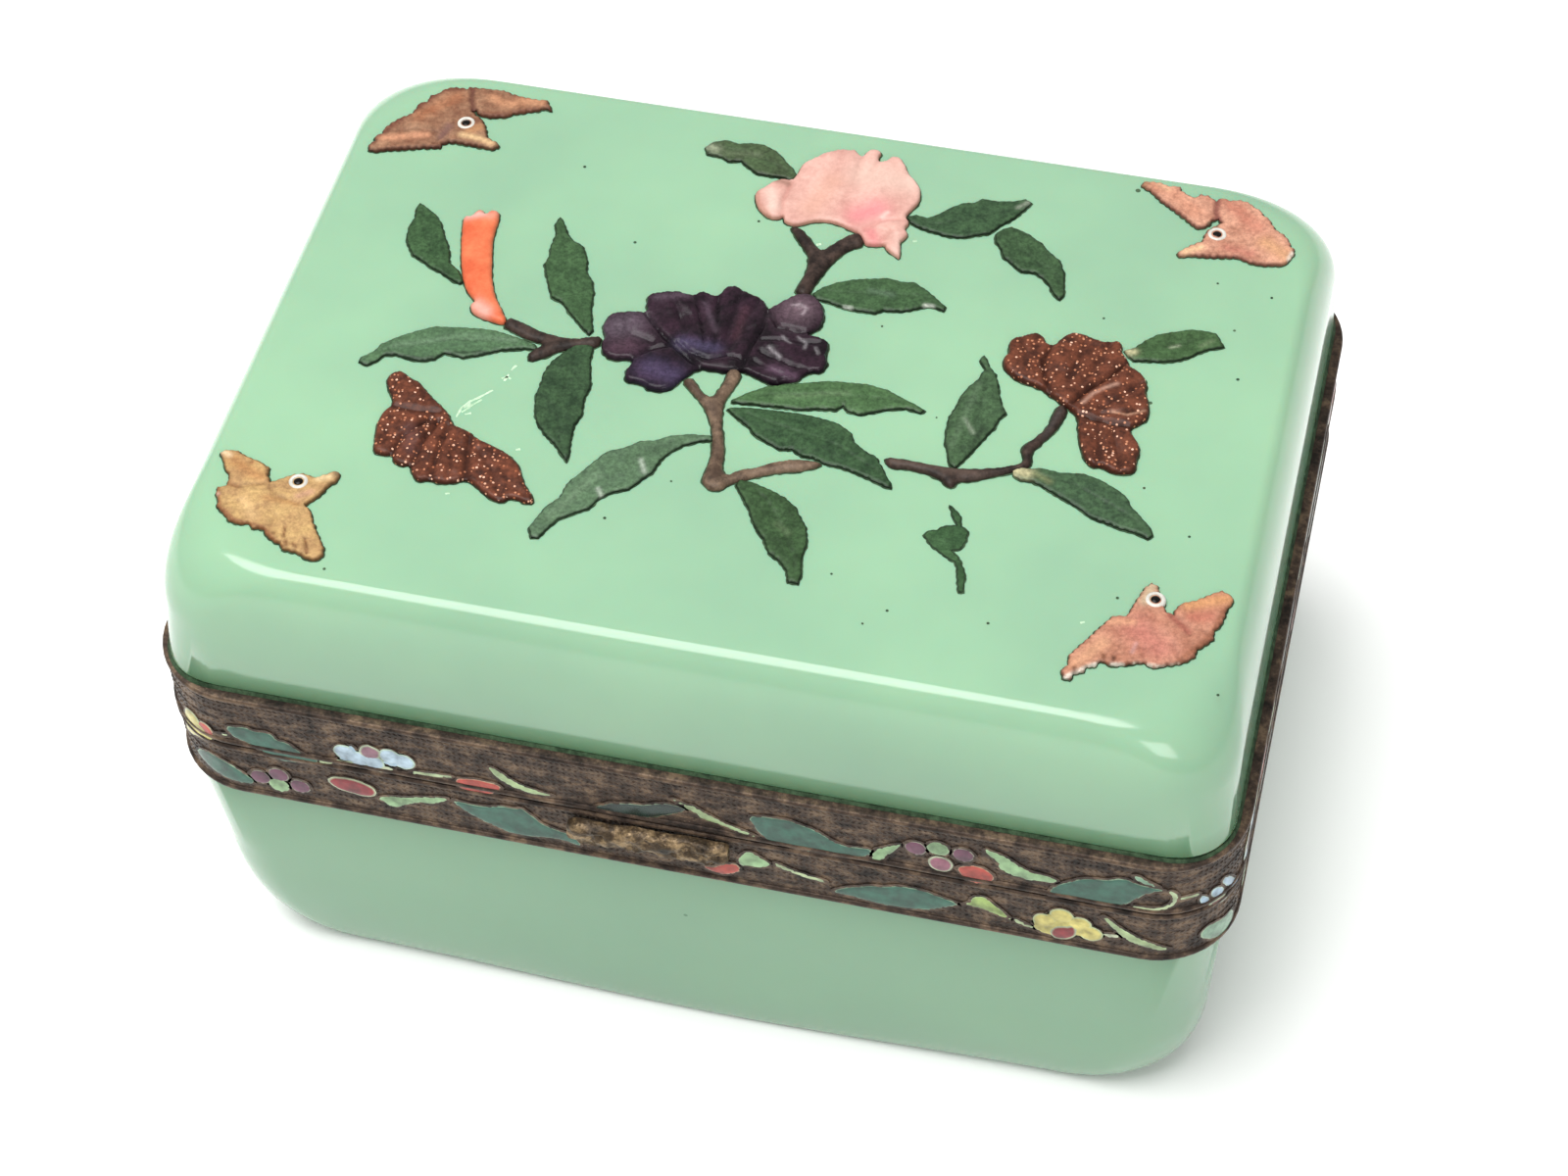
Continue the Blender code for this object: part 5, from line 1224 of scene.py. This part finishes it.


# How the stones are cut, in millimetres: the outline's step and wobble, the mesh's grid, how far
# in the top is whole, the swell and grain of the top, a leaf's vein as (half width, depth), and
# how much of the painted shade in the cuts and of the stone's own tone shows
carving = {
    "step": 0.2, "wobble": 0.06, "grid": 0.24, "foot": 0.02, "lowest": 0.12, "whole": 1.2,
    "swellPitch": 0.3, "grainPitch": 1.3, "grain": 0.05, "striaePitch": 11.0,
    "vein": (0.2, 0.08), "cutShadeWidth": 0.9, "cutShadeShare": 2.2, "cutShadeMost": 0.8, "toneShare": 0.72,
    "seedStep": 3.7,
}


# One carved stone over its CAD node, no higher than the node is
def makeStone(node, look, seed):
    finish, slot, height, edgeWidth, drop, swell, tooth, rounding, cutShade = kinds[
        look.get("kind", "leaf")]
    height = look.get("height", height)
    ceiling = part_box(node)[1].z * 1000 - box["glassTop"]
    loop = fileLoop(drawn(plans[node]), carving["step"], rounding, carving["wobble"], seed,
                    tooth=tooth)
    cuts = [(drawn(line), width, depth) for line, width, depth in look.get("cuts", ())]
    across = None
    if "kind" not in look:
        line, across = middleLine(loop)
        cuts.append((line, *carving["vein"]))

    def heightAt(points, edge):
        reach = np.clip(edge / edgeWidth, 0, 1)
        top = height * (1 - drop + drop * np.sqrt(1 - (1 - reach) ** 2))
        inner = np.clip(edge / carving["whole"], 0, 1)
        top += noiseAt(points, carving["swellPitch"], seed) * swell * inner
        top += noiseAt(points, carving["grainPitch"], seed) * carving["grain"] * inner
        for line, width, depth in cuts:
            top -= depth * np.exp(-(lineDistance(points, line) / width) ** 2) * inner ** 0.3
        if "striae" in look:
            top += look["striae"] * np.sin((points @ across) * carving["striaePitch"]) * inner
        return np.clip(top, carving["lowest"], ceiling)

    # Each cut gets a dark patch along it: painted shade in the furrow
    patches = [(line, width * carving["cutShadeWidth"], cutShade,
                min(carving["cutShadeMost"], depth * carving["cutShadeShare"]))
               for line, width, depth in cuts]
    patches += [(drawn(line), width, colour, strength)
                for line, width, colour, strength in look.get("patches", ())]
    tone = (look["tone"], carving["toneShare"]) if "tone" in look else None
    points, faces, values = reliefMesh(loop, heightAt, carving["foot"], onLid, carving["grid"],
                                       patches, tone)
    makePiece(node.replace("_", "-") + "-stone", points, faces, finish, 50.0, (node,), values)
    return loop


stoneLoops = [makeStone(node, look, carving["seedStep"] * i)
              for i, (node, look) in enumerate(stones.items())]
print("stones ready")


def disc(radius, segments=20):
    turns = [2 * math.pi * i / segments for i in range(segments)]
    return [(radius * math.cos(t), radius * math.sin(t)) for t in turns]


# Small thin marks lying on the glass: cement round the stones, specks of it, and pale chips
marks = {
    "halo": 0.13, "haloHeight": 0.04, "haloLayer": 0.001, "haloWobble": 0.12,
    "speckRadius": 0.11, "speckSpread": 0.09, "speckHeight": 0.03, "filmFoot": 0.004,
    "chipWidth": 0.24, "chipHeight": 0.012, "chipFoot": 0.003,
    "specks": [(-27, 26), (-6.2, 21.8), (-18.5, 15.8), (10.3, 9.3), (32.9, 15.4), (43.8, 23),
               (49.7, 22.1), (48, 9.7), (-36.8, -35.2), (-11.2, -22.7), (-5.9, -16.5),
               (19.2, -28.3), (12.8, -24.9), (17.2, -30.4), (41.1, -7.1), (46.6, -12.5),
               (41, -21.8), (52.5, -31.6), (29.2, -27.7), (18.6, -2.2)],
    "chips": [[(-26.9, -6.5), (-26.4, -6.2), (-25.9, -6.4)], [(-26.5, -6.8), (-26.3, -5.8)],
              [(-27.3, -8.3), (-28.2, -9.4), (-29.2, -10.4), (-29.8, -11.4), (-29.9, -12.8)],
              [(-28, -9.8), (-28.8, -10.8), (-29.6, -12)], [(-28.6, -11.9), (-29.2, -12.2)],
              [(-29, -10.6), (-29.6, -11.4)], [(-26.2, -5.2), (-25.9, -4.4)],
              [(-27.9, -23.1), (-27.5, -22.9)], [(-22.6, -15.8), (-22.2, -15.6)],
              [(10.8, 22.3), (11.2, 22.5)], [(38, -25.7), (38.4, -25.5)],
              [(0.8, 19.6), (1.2, 19.8)]],
}


def makeMarks():
    film = [reliefMesh(fileLoop(loop, 0.4, 0, marks["haloWobble"], i * 2.3, marks["halo"]),
                       levelTop(marks["haloHeight"] + marks["haloLayer"] * i),
                       marks["filmFoot"], onLid, 3.0)
            for i, loop in enumerate(stoneLoops)]
    for i, place in enumerate(drawn(marks["specks"])):
        radius = marks["speckRadius"] + marks["speckSpread"] * abs(
            noise.noise(Vector((place[0], place[1], 4.4))))
        loop = fileLoop(np.array(disc(radius, 9)) + place, 0.2, 0, 0.08, i)
        film.append(reliefMesh(loop, levelTop(marks["speckHeight"]), marks["filmFoot"], onLid))
    points, faces, values = joinMeshes(film)
    makePiece("settingCement", points, faces, "cementAndGapShadow", 50.0, values=values)
    chips = [reliefMesh(fileLoop(ribbon(drawn(line), marks["chipWidth"]), 0.2, 0, 0.1, i),
                        levelTop(marks["chipHeight"]), marks["chipFoot"], onLid)
             for i, line in enumerate(marks["chips"])]
    points, faces, values = joinMeshes(chips)
    makePiece("glassChips", points, faces, "chip", 50.0, values=values)


makeMarks()

# Inlaid eyes: a turned shell ring round a black bead
eye = {"radius": 1.05, "pupil": 0.55, "segments": 32, "rise": 0.12}


# Turns an outline of (radius, height) into a closed shape round a centre
def turned(outline, centre):
    count = eye["segments"]
    points = [(centre.x, centre.y, outline[0][1])]
    for radius, height in outline[1:-1]:
        points += [(centre.x + x, centre.y + y, height) for x, y in disc(radius, count)]
    last = len(points)
    points.append((centre.x, centre.y, outline[-1][1]))
    faces = [(0, 1 + i, 1 + (i + 1) % count) for i in range(count)]
    for row in range(len(outline) - 3):
        here, there = 1 + row * count, 1 + (row + 1) * count
        faces += [(here + i, there + i, there + (i + 1) % count, here + (i + 1) % count)
                  for i in range(count)]
    here = 1 + (len(outline) - 3) * count
    faces += [(last, here + (i + 1) % count, here + i) for i in range(count)]
    return points, faces


# The ring takes the place of the eye's CAD node, and the bead sits in it
def makeEye(node):
    low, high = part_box(node)
    centre = (low + high) / 2 * 1000
    top = min(high.z * 1000, box["glassTop"] + 0.5 + eye["rise"])
    pupil, radius, foot = eye["pupil"], eye["radius"], box["glassTop"] + 0.05
    ring = [(0.0, top - 0.2), (pupil * 0.98, top - 0.2), (pupil + 0.08, top - 0.04),
            (pupil + 0.2, top), (radius - 0.12, top - 0.05), (radius, top - 0.22),
            (radius, foot), (0.0, foot)]
    bead = [(0.0, top), (pupil * 0.5, top - 0.03), (pupil * 0.85, top - 0.1),
            (pupil, top - 0.22), (pupil * 0.9, top - 0.3), (0.0, top - 0.3)]
    for part, outline, finish, replaced in (("ring", ring, "shell", (node,)),
                                            ("bead", bead, "pupil", ())):
        points, faces = turned(outline, centre)
        makePiece(node.replace("_", "-") + "-" + part, points, faceOutwards(points, faces),
                  finish, 40.0, replaced)


for node in sorted(nodes):
    if node.endswith("_eye"):
        makeEye(node)
print("eyes ready")

# The enamelled sprigs, in millimetres along the rim from the middle of its front and up. The
# front is drawn and the other sides repeat it, shifted and mirrored.
enamelColours = {
    "yellow": "#b1a75c", "petal": "#b8ad62", "stem": "#98a57c", "leaf": "#234f40",
    "blue": "#8da5b6", "sky": "#9aaebb", "mauve": "#74505c", "white": "#aeb598",
    "coral": "#9f3b2e", "blade": "#8c9f72", "teal": "#152923", "green": "#7c9b70",
    "sage": "#6c8c74", "red": "#5c2625", "wine": "#741a20", "violet": "#565b94",
    "lime": "#859b54", "plum": "#5c3146", "berry": "#804c5c",
}
sprigs = {
    "lid": [
        ("yellow", [(-54.4, 43.1), (-53.3, 42.8), (-53.1, 41.4), (-52.1, 41.3), (-50.5, 41.3),
            (-50.6, 40.1), (-51.7, 39.1), (-53, 39), (-54.5, 38.1), (-56, 37.7)]),
        ("stem", [(-50.7, 41.5), (-49.1, 42.1), (-48, 42.1), (-49.2, 41.3)]),
        ("leaf", [(-48.6, 43.6), (-47.7, 43.7), (-46.4, 44), (-45.4, 43.5), (-44.1, 43.8),
            (-43.3, 43.3), (-43.2, 42.7), (-41.9, 42.5), (-41, 41.6), (-39.7, 40.7),
            (-38.6, 40.5), (-39.1, 39.4), (-40.4, 39.2), (-42.1, 39), (-43.7, 38.9),
            (-45.1, 40), (-46.2, 40.9), (-47.9, 41.6), (-48.7, 42.7)]),
        ("stem", [(-38.7, 40.8), (-36.8, 41.2), (-34.3, 41.5), (-34, 40.9), (-36.6, 40.3),
            (-39.1, 39.5)]),
        ("blue", [(-36.5, 43.3), (-35.9, 43.1), (-34.8, 44.4), (-34.3, 43.7), (-33.8, 42.3),
            (-33.6, 41.3), (-34.4, 40.8), (-35.2, 41.2), (-36.2, 41.1), (-36.6, 41.8)]),
        ("blue", [(-31.4, 43), (-30.9, 43.9), (-30, 44.4), (-29, 44.2), (-28.5, 43.4),
            (-28.7, 42.2), (-29.9, 41.6), (-31.1, 41.7), (-31.7, 42.2)]),
        ("mauve", [(-34, 43.7), (-33.1, 44.8), (-32.2, 44.5), (-31.5, 44), (-31.8, 42.8),
            (-32.8, 42.2), (-33.7, 42.6)]),
        ("white", [(-33.8, 41.3), (-32.1, 41.6), (-29.9, 41.5), (-31, 40.4), (-32.3, 40.1),
            (-33.5, 40.5)]),
        ("stem", [(-28.7, 41.6), (-27.1, 41.8), (-23.7, 42.1), (-24.1, 41.4), (-26.9, 41.1),
            (-28.8, 40.9)]),
        ("coral", [(-23.8, 41.7), (-22.1, 42.2), (-20, 42.2), (-18.6, 41.8), (-18.9, 40.7),
            (-20.2, 39.7), (-21.8, 39.7), (-23.3, 39.9), (-23.8, 40.6)]),
        ("blade", [(-20, 44.9), (-19.3, 44.9), (-18.3, 44), (-16.6, 42.7), (-14.5, 42.1),
            (-12.5, 41.8), (-14.6, 41.2), (-16.7, 41.6), (-18.4, 42.4), (-19.7, 43.8)]),
        ("teal", [(-8.9, 41.3), (-8, 41.8), (-7, 42.5), (-5.8, 42.8), (-4.4, 43.1),
            (-3.4, 43.2), (-2, 43.9), (-0.7, 44.2), (0.6, 44.1), (1.4, 43.8), (0.6, 42.9),
            (-0.8, 42.1), (-2.2, 41.2), (-3.3, 40.8), (-4.6, 40.7), (-5.9, 40.5), (-7.6, 40.2),
            (-8.6, 40.6)]),
        ("blade", [(-0.6, 45.1), (0, 45.3), (0.7, 44.9), (1.4, 44.5), (1.8, 44.8), (2.7, 44),
            (4, 43.3), (5.8, 42.3), (7.8, 41.6), (9, 41.1), (7.5, 41), (5.7, 41.6),
            (3.8, 42.3), (2.9, 42.3), (1.9, 43.3), (1, 43.9), (0.1, 44.6)]),
        ("leaf", [(7.4, 44.6), (9.2, 45), (10.6, 45.1), (12, 45.2), (13, 44.8), (14.4, 44.4),
            (15.8, 43.5), (17.1, 42.6), (18.5, 42.5), (20.6, 42.9), (20.4, 41.4), (18.4, 40.5),
            (16.8, 40.2), (15.2, 40.3), (13.5, 40.1), (11.6, 40.5), (9.7, 40.6), (8.5, 42.1)]),
        ("green", [(20.3, 40.7), (20.6, 42.7), (21.7, 43.5), (23.6, 44.8), (23.4, 43.8),
            (22.1, 42), (21.5, 40.8)]),
        ("coral", [(29.1, 42.4), (30.7, 43.2), (31.8, 43.2), (32.5, 42.7), (33.2, 42.1),
            (33.1, 40.9), (32.1, 40.1), (31, 40), (30.1, 40.5), (29.5, 41.3)]),
        ("green", [(31.8, 45.9), (32.1, 46.5), (32.7, 46.2), (33.8, 45.9), (34.7, 45.4),
            (36, 44.3), (37.4, 43.8), (38.7, 43.7), (39.8, 43.1), (39.2, 42.5), (37.9, 42.4),
            (36.3, 42.3), (35, 42.5), (33.8, 43.1), (33.4, 43.7), (33.3, 44.5)]),
        ("leaf", [(38.6, 40.7), (39.1, 42.2), (40.5, 43.3), (41.4, 44), (42.7, 44.7),
            (44.4, 44.9), (46.1, 45.8), (47, 45.5), (47.9, 45.1), (49.2, 45.1), (50.8, 44.5),
            (48.9, 44), (47.8, 42.7), (46.8, 41.3), (45.5, 40.6), (43.7, 40.4), (41.9, 40.8),
            (40.2, 40.6), (38.8, 40.2)]),
        ("sage", [(46.9, 46.4), (47.5, 46.7), (48.7, 45.9), (50.3, 45), (48.8, 45),
            (47.5, 45.5)]),
        ("twist", [(50.8, 44.5), (51.7, 43.3), (51, 41.6), (49, 41.1), (46.8, 40.9)]),
        ("twist", [(51.9, 42.8), (52.9, 42.9), (54.2, 42.9)]),
        ("blue", [(54.1, 42.4), (54.6, 42.6), (55.5, 41.4), (55.5, 40.4), (54.8, 40.4),
            (54.2, 41.3)]),
        ("blue", [(55.4, 42.3), (55.9, 42.8), (56.8, 42.4), (57.5, 41.3), (57.5, 40.4),
            (56.4, 40.5), (55.6, 41.3)]),
        ("blue", [(56.7, 43.3), (57.1, 43.6), (58.4, 42.6), (59.4, 41.1), (60.3, 40.2),
            (60.2, 39.3), (59.2, 39.6), (57.9, 41)]),
        ("red", [(55.3, 40.4), (56.7, 40.3), (57.8, 40.1), (58.3, 39.1), (57.1, 39.2),
            (55.9, 39.5)]),
        ("sky", [(-35.6, 42.7)]), ("sky", [(-34.2, 42)]), ("sky", [(-30.6, 43.4)]),
        ("sky", [(-29.2, 42.9)]), ("sky", [(-32.6, 41.9)]), ("petal", [(-53.4, 41.9)]),
        ("petal", [(-52.6, 40.6)]), ("coral", [(-51.6, 41.3)]),
        ("plum", [(25, 44.3)]), ("green", [(27.3, 44.9)]), ("plum", [(29.9, 44.6)]),
        ("berry", [(27.6, 42.4)]),
    ],
    "base": [
        ("leaf", [(-54.1, 36), (-52.3, 37.3), (-50.4, 37.2), (-48.8, 36.4), (-47.7, 35.5),
            (-46.6, 34.4), (-47, 33.6), (-48.7, 33.4), (-50.1, 33.7), (-51.8, 34),
            (-53.1, 34.6), (-54, 35.1)]),
        ("wine", [(-38.3, 37.1), (-37.6, 37.8), (-36.3, 38.1), (-34.7, 38), (-33.2, 37.3),
            (-32.8, 36.1), (-34.1, 35.3), (-36, 35.6), (-37.5, 36)]),
        ("green", [(-33.1, 35.5), (-31.5, 36.3), (-29.9, 36.5), (-28.2, 37.1), (-26.3, 37.6),
            (-24.9, 38), (-24.8, 37.4), (-26.8, 36), (-27.7, 36.1), (-29, 35.6),
            (-31.1, 34), (-32, 34.6)]),
        ("leaf", [(-24.7, 37.8), (-23.2, 37.6), (-21, 37.5), (-19.1, 38.3), (-17.6, 38.2),
            (-16.9, 38.7), (-15.8, 37.5), (-14.4, 36.1), (-12.2, 35.5), (-10.9, 35.2),
            (-10.6, 33.2), (-11.8, 33.7), (-13.6, 34.1), (-16.1, 33.5), (-18.3, 33.4),
            (-20.4, 34.3), (-22.5, 35.4), (-23.9, 36.5)]),
        ("violet", [(-2.8, 34.9), (-2.2, 35.3), (-1.7, 34.6), (-1.7, 34.3), (-2.5, 34.2)]),
        ("coral", [(2.2, 34.1), (3, 34.3), (3.6, 34.3), (4.2, 34.9), (5.2, 35.5), (6, 35.7),
            (6.6, 35.2), (6.5, 34.3), (5.5, 33.4), (4.5, 33.1), (3.5, 33.3), (2.7, 33.6)]),
        ("green", [(6.2, 36.5), (6.8, 37.9), (7.9, 38.4), (9, 37.4), (10.1, 36.7), (9, 35.7),
            (7.6, 35.5), (6.4, 35.4)]),
        ("twist", [(10.1, 37), (11.5, 36.3), (13.4, 35.7), (15.8, 35.3)]),
        ("leaf", [(15.7, 33.7), (17.8, 35.2), (20.3, 36.3), (21.7, 36.5), (23.4, 37.2),
            (25.6, 37.2), (27.8, 36.5), (30, 35.9), (28.6, 34.9), (26.4, 33.6), (23.9, 33.1),
            (21.2, 33.1), (18.4, 33.5)]),
        ("lime", [(29.2, 35.7), (30.6, 36.4), (31, 37.7), (32.1, 38.1), (33.1, 37.2),
            (34.5, 35.7), (35.3, 34.7), (34.3, 34.8), (32.9, 35.3), (31.7, 35.8), (30.6, 35.8)]),
        ("twist", [(35.3, 34.9), (36.3, 34.4), (37.5, 33.9)]),
        ("yellow", [(37.1, 34.5), (37.6, 35.9), (38.5, 37), (39.2, 37.4), (40, 37.9),
            (40.8, 38.1), (41.4, 37.3), (42.1, 36.6), (43, 36.3), (44, 35.8), (44.3, 34.9),
            (43.6, 34.1), (42.5, 33.9), (41.8, 34.1), (40.4, 33.2), (38.9, 33.2), (37.9, 33.6)]),
        ("wine", [(39.1, 34.2), (39.7, 35.2), (40.6, 35.3), (41.5, 35.8), (41.9, 34.9),
            (41.6, 33.8), (40.5, 33), (39.4, 33.1)]),
        ("petal", [(38.5, 35.7)]), ("petal", [(40.2, 37.1)]), ("petal", [(42.1, 36.2)]),
        ("petal", [(43.3, 34.9)]),
        ("white", [(44.2, 35.3), (45.8, 35.8), (46.4, 35.6), (46.3, 34.9), (44.5, 34.7)]),
        ("blade", [(44.1, 38.4), (44.7, 38.6), (46.1, 37.1), (47.8, 36), (49.4, 35.3),
            (50.7, 34.6), (51.9, 34), (50.8, 33.6), (49.2, 34.2), (47.6, 34.5), (46.2, 35.5),
            (45.3, 36.8)]),
        ("sage", [(54.6, 35), (55.1, 36), (56.2, 36.3), (57.9, 35.5), (58.8, 35.6),
            (59.7, 35.3), (60.3, 33.3), (59.2, 32.3), (57.9, 32.2), (55.9, 33.4)]),
        ("plum", [(-46, 35.3)]), ("plum", [(-43.8, 36.3)]), ("plum", [(-41.6, 34.9)]),
        ("green", [(-44, 34.4)]),
    ],
}
enamel = {"ground": -0.3, "rise": 0.17, "edge": 0.3, "fence": 0.16, "fenceRise": 0.13,
          "stemWidth": 0.7, "sideReach": 33.0, "berry": 1.25,
          "upper": {"wine": 0.08, "mauve": 0.06, "berry": 0.05, "red": 0.05, "petal": 0.03,
                    "sky": 0.03},
          "step": 0.3, "wobble": 0.08, "grow": 0.05, "poolPitch": 1.2, "pool": 0.03, "foot": 0.1,
          "flat": 0.55, "grid": 0.4, "fenceStep": 0.35, "fenceWobble": 0.03, "seedStep": 5.1}


# A place along the rim, and so high off its outline
def onRim(u, v, height):
    place, outward = rimPlace(u)
    spot = place + outward * height
    return (spot.x, spot.y, v)


# The enamel of one rim and the thin fence of metal round each pool of it, on all four sides
def makeEnamel(name, shapes):
    perimeter = (2 * (box["length"] + box["width"]) - 8 * box["corner"]
                 + 2 * math.pi * box["corner"])
    fills, fences = [], []
    for side in range(4):
        for colour, line in shapes:
            line = np.array(line)
            if side % 2 and abs(line[:, 0].mean()) > enamel["sideReach"]:
                continue
            if side > 1:
                line = line * (-1, 1)
            line = line + (perimeter / 4 * side, 0)
            seed = side * enamel["seedStep"] + float(line[0, 0])
            if len(line) == 1:
                loop = np.array(disc(enamel["berry"], 18)) + line[0]
            elif colour == "twist":
                loop = ribbon(line, enamel["stemWidth"])
            else:
                loop = line
            loop = fileLoop(loop, enamel["step"], 1, enamel["wobble"], seed, enamel["grow"])

            def domed(points, edge):
                reach = np.clip(edge / enamel["edge"], 0, 1)
                pool = noiseAt(points, enamel["poolPitch"], seed) * enamel["pool"]
                dome = enamel["flat"] + (1 - enamel["flat"]) * reach
                return (enamel["ground"] + enamel["upper"].get(colour, 0.0)
                        + enamel["rise"] * dome + pool * reach)

            foot = enamel["ground"] - enamel["foot"]
            tone = enamelColours["stem" if colour == "twist" else colour]
            fills.append(reliefMesh(loop, domed, foot, onRim, enamel["grid"], (), (tone, 1.0)))
            fence = fileLoop(loop, enamel["fenceStep"], 0, enamel["fenceWobble"], seed,
                             enamel["fence"])
            fences.append(reliefMesh(fence, levelTop(enamel["ground"] + enamel["fenceRise"]),
                                     foot, onRim, 2.0))
    points, faces, values = joinMeshes(fills)
    makePiece(name + "Enamel", points, faces, "enamel", 50.0, values=values)
    points, faces, values = joinMeshes(fences)
    makePiece(name + "Wires", points, faces, "brass", 40.0, values=values)


for name, shapes in sprigs.items():
    makeEnamel(name, shapes)
print("enamel ready")

thumb = {"lumps": 0.5, "step": 0.3, "droop": 0.3, "turns": 16, "foot": 0.3, "endRound": 1.1}


# The thumb bar: a cast bar, pitted and lumpy, in the place of its CAD solid
def makeThumbBar():
    low, high = (corner * 1000 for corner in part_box("thumb_bar"))
    depth, height = high.y - low.y, high.z - low.z
    section = [(max(0.0, math.cos(t)) ** 0.6, 0.5 + 0.5 * math.sin(t)) for t in
               [-math.pi / 2 + math.pi * i / thumb["turns"] for i in range(thumb["turns"] + 1)]]
    columns = int((high.x - low.x) / thumb["step"])
    rings = []
    for column in range(columns + 1):
        x = low.x + (high.x - low.x) * column / columns
        ends = min(1.0, (min(column, columns - column) + 0.3) * thumb["step"] / thumb["endRound"])
        round_ = math.sqrt(max(0.0, 1 - (1 - ends) ** 2))
        slim = 0.8 + 0.2 * noise.noise(Vector((x * 0.35, 3.1, 0.0)))
        ring = []
        for reach, share in section:
            lump = noise.noise(Vector((x * 0.7, reach * 1.5, share * 3.0)))
            lump += 0.6 * noise.noise(Vector((x * 2.1, reach * 3.0, share * 8.0)))
            out = thumb["foot"] + (depth - thumb["foot"]) * (0.35 + 0.65 * round_) * reach * (
                0.92 + thumb["lumps"] * lump)
            out = min(depth, max(0.05, out))
            tall = height * slim * (0.55 + 0.45 * round_) * (0.94 + 0.1 * lump)
            middle = (low.z + high.z) / 2 + thumb["droop"] * (
                2 * (x - low.x) / (high.x - low.x) - 1)
            z = min(high.z, max(low.z, middle + (share - 0.5) * tall))
            ring.append((x, high.y - out, z))
        ring += [(x, high.y, ring[-1][2]), (x, high.y, ring[0][2])]
        rings.append(ring)
    points, faces = loftRings(rings)
    makePiece("thumbBarCasting", points, faceOutwards(points, faces), "casting", 60.0,
              ("thumb_bar",))


makeThumbBar()
print("thumb bar ready")


# The photograph's viewpoint, found from the box's own edges
viewpoint = {"place": (65.716, -236.064, 328.349), "azimuth": 15.283, "elevation": 50.552,
             "roll": -2.16, "lens": 78.97, "film": 36.0}


def makeCamera():
    azimuth, elevation, roll = (math.radians(viewpoint[turn])
                                for turn in ("azimuth", "elevation", "roll"))
    back = Vector((math.sin(azimuth) * math.cos(elevation),
                   -math.cos(azimuth) * math.cos(elevation), math.sin(elevation)))
    right = (-back).cross(Vector((0, 0, 1))).normalized()
    up = right.cross(-back)
    tiltedRight = right * math.cos(roll) + up * math.sin(roll)
    tiltedUp = -right * math.sin(roll) + up * math.cos(roll)
    camera = bpy.data.objects.new("camera", bpy.data.cameras.new("camera"))
    camera.matrix_world = Matrix.Translation(Vector(viewpoint["place"]) * 0.001) @ Matrix(
        (tiltedRight, tiltedUp, back)).transposed().to_4x4()
    camera.data.sensor_width = viewpoint["film"]
    camera.data.lens = viewpoint["lens"]
    camera.data.clip_start, camera.data.clip_end = 0.01, 20.0
    bpy.context.scene.collection.objects.link(camera)
    bpy.context.scene.camera = camera


# Metres and watts, each light as (place, size, power)
studio = {
    "floor": 3, "paper": "#fbfbfa", "sky": 0.5, "aim": (0, 0, 0.04),
    "lights": {"overhead": ((-0.2, -0.12, 1.0), (0.9, 0.7), 15.0),
               "frontWindow": ((0.5, -0.75, 0.55), (0.3, 0.4), 2.0)},
}


# A soft rectangular light turned towards the box
def makeLight(name, place, size, power):
    lamp = bpy.data.lights.new(name, "AREA")
    lamp.shape = "RECTANGLE"
    lamp.size, lamp.size_y = size
    lamp.energy = power
    light = bpy.data.objects.new(name, lamp)
    light.location = place
    light.rotation_mode = "QUATERNION"
    light.rotation_quaternion = (Vector(studio["aim"]) - Vector(place)).to_track_quat("-Z", "Y")
    bpy.context.scene.collection.objects.link(light)


def makeStudio():
    reach = studio["floor"]
    floorPoints = [(-reach, -reach, 0), (reach, -reach, 0), (reach, reach, 0), (-reach, reach, 0)]
    mesh = bpy.data.meshes.new("paleFloor")
    mesh.from_pydata(floorPoints, [], [(0, 1, 2, 3)])
    mesh.materials.append(startMaterial(
        "white paper sweep", Roughness=0.9, Base_Color=linearColour(studio["paper"]))[0])
    floor = bpy.data.objects.new("paleFloor", mesh)
    bpy.context.scene.collection.objects.link(floor)
    world = bpy.data.worlds.new("studio")
    world.use_nodes = True
    world.node_tree.nodes["Background"].inputs["Color"].default_value = (1, 1, 1, 1)
    world.node_tree.nodes["Background"].inputs["Strength"].default_value = studio["sky"]
    bpy.context.scene.world = world
    for name, light in studio["lights"].items():
        makeLight(name, *light)
    bpy.context.scene.view_settings.view_transform = "Standard"


makeCamera()
makeStudio()
print("studio ready")
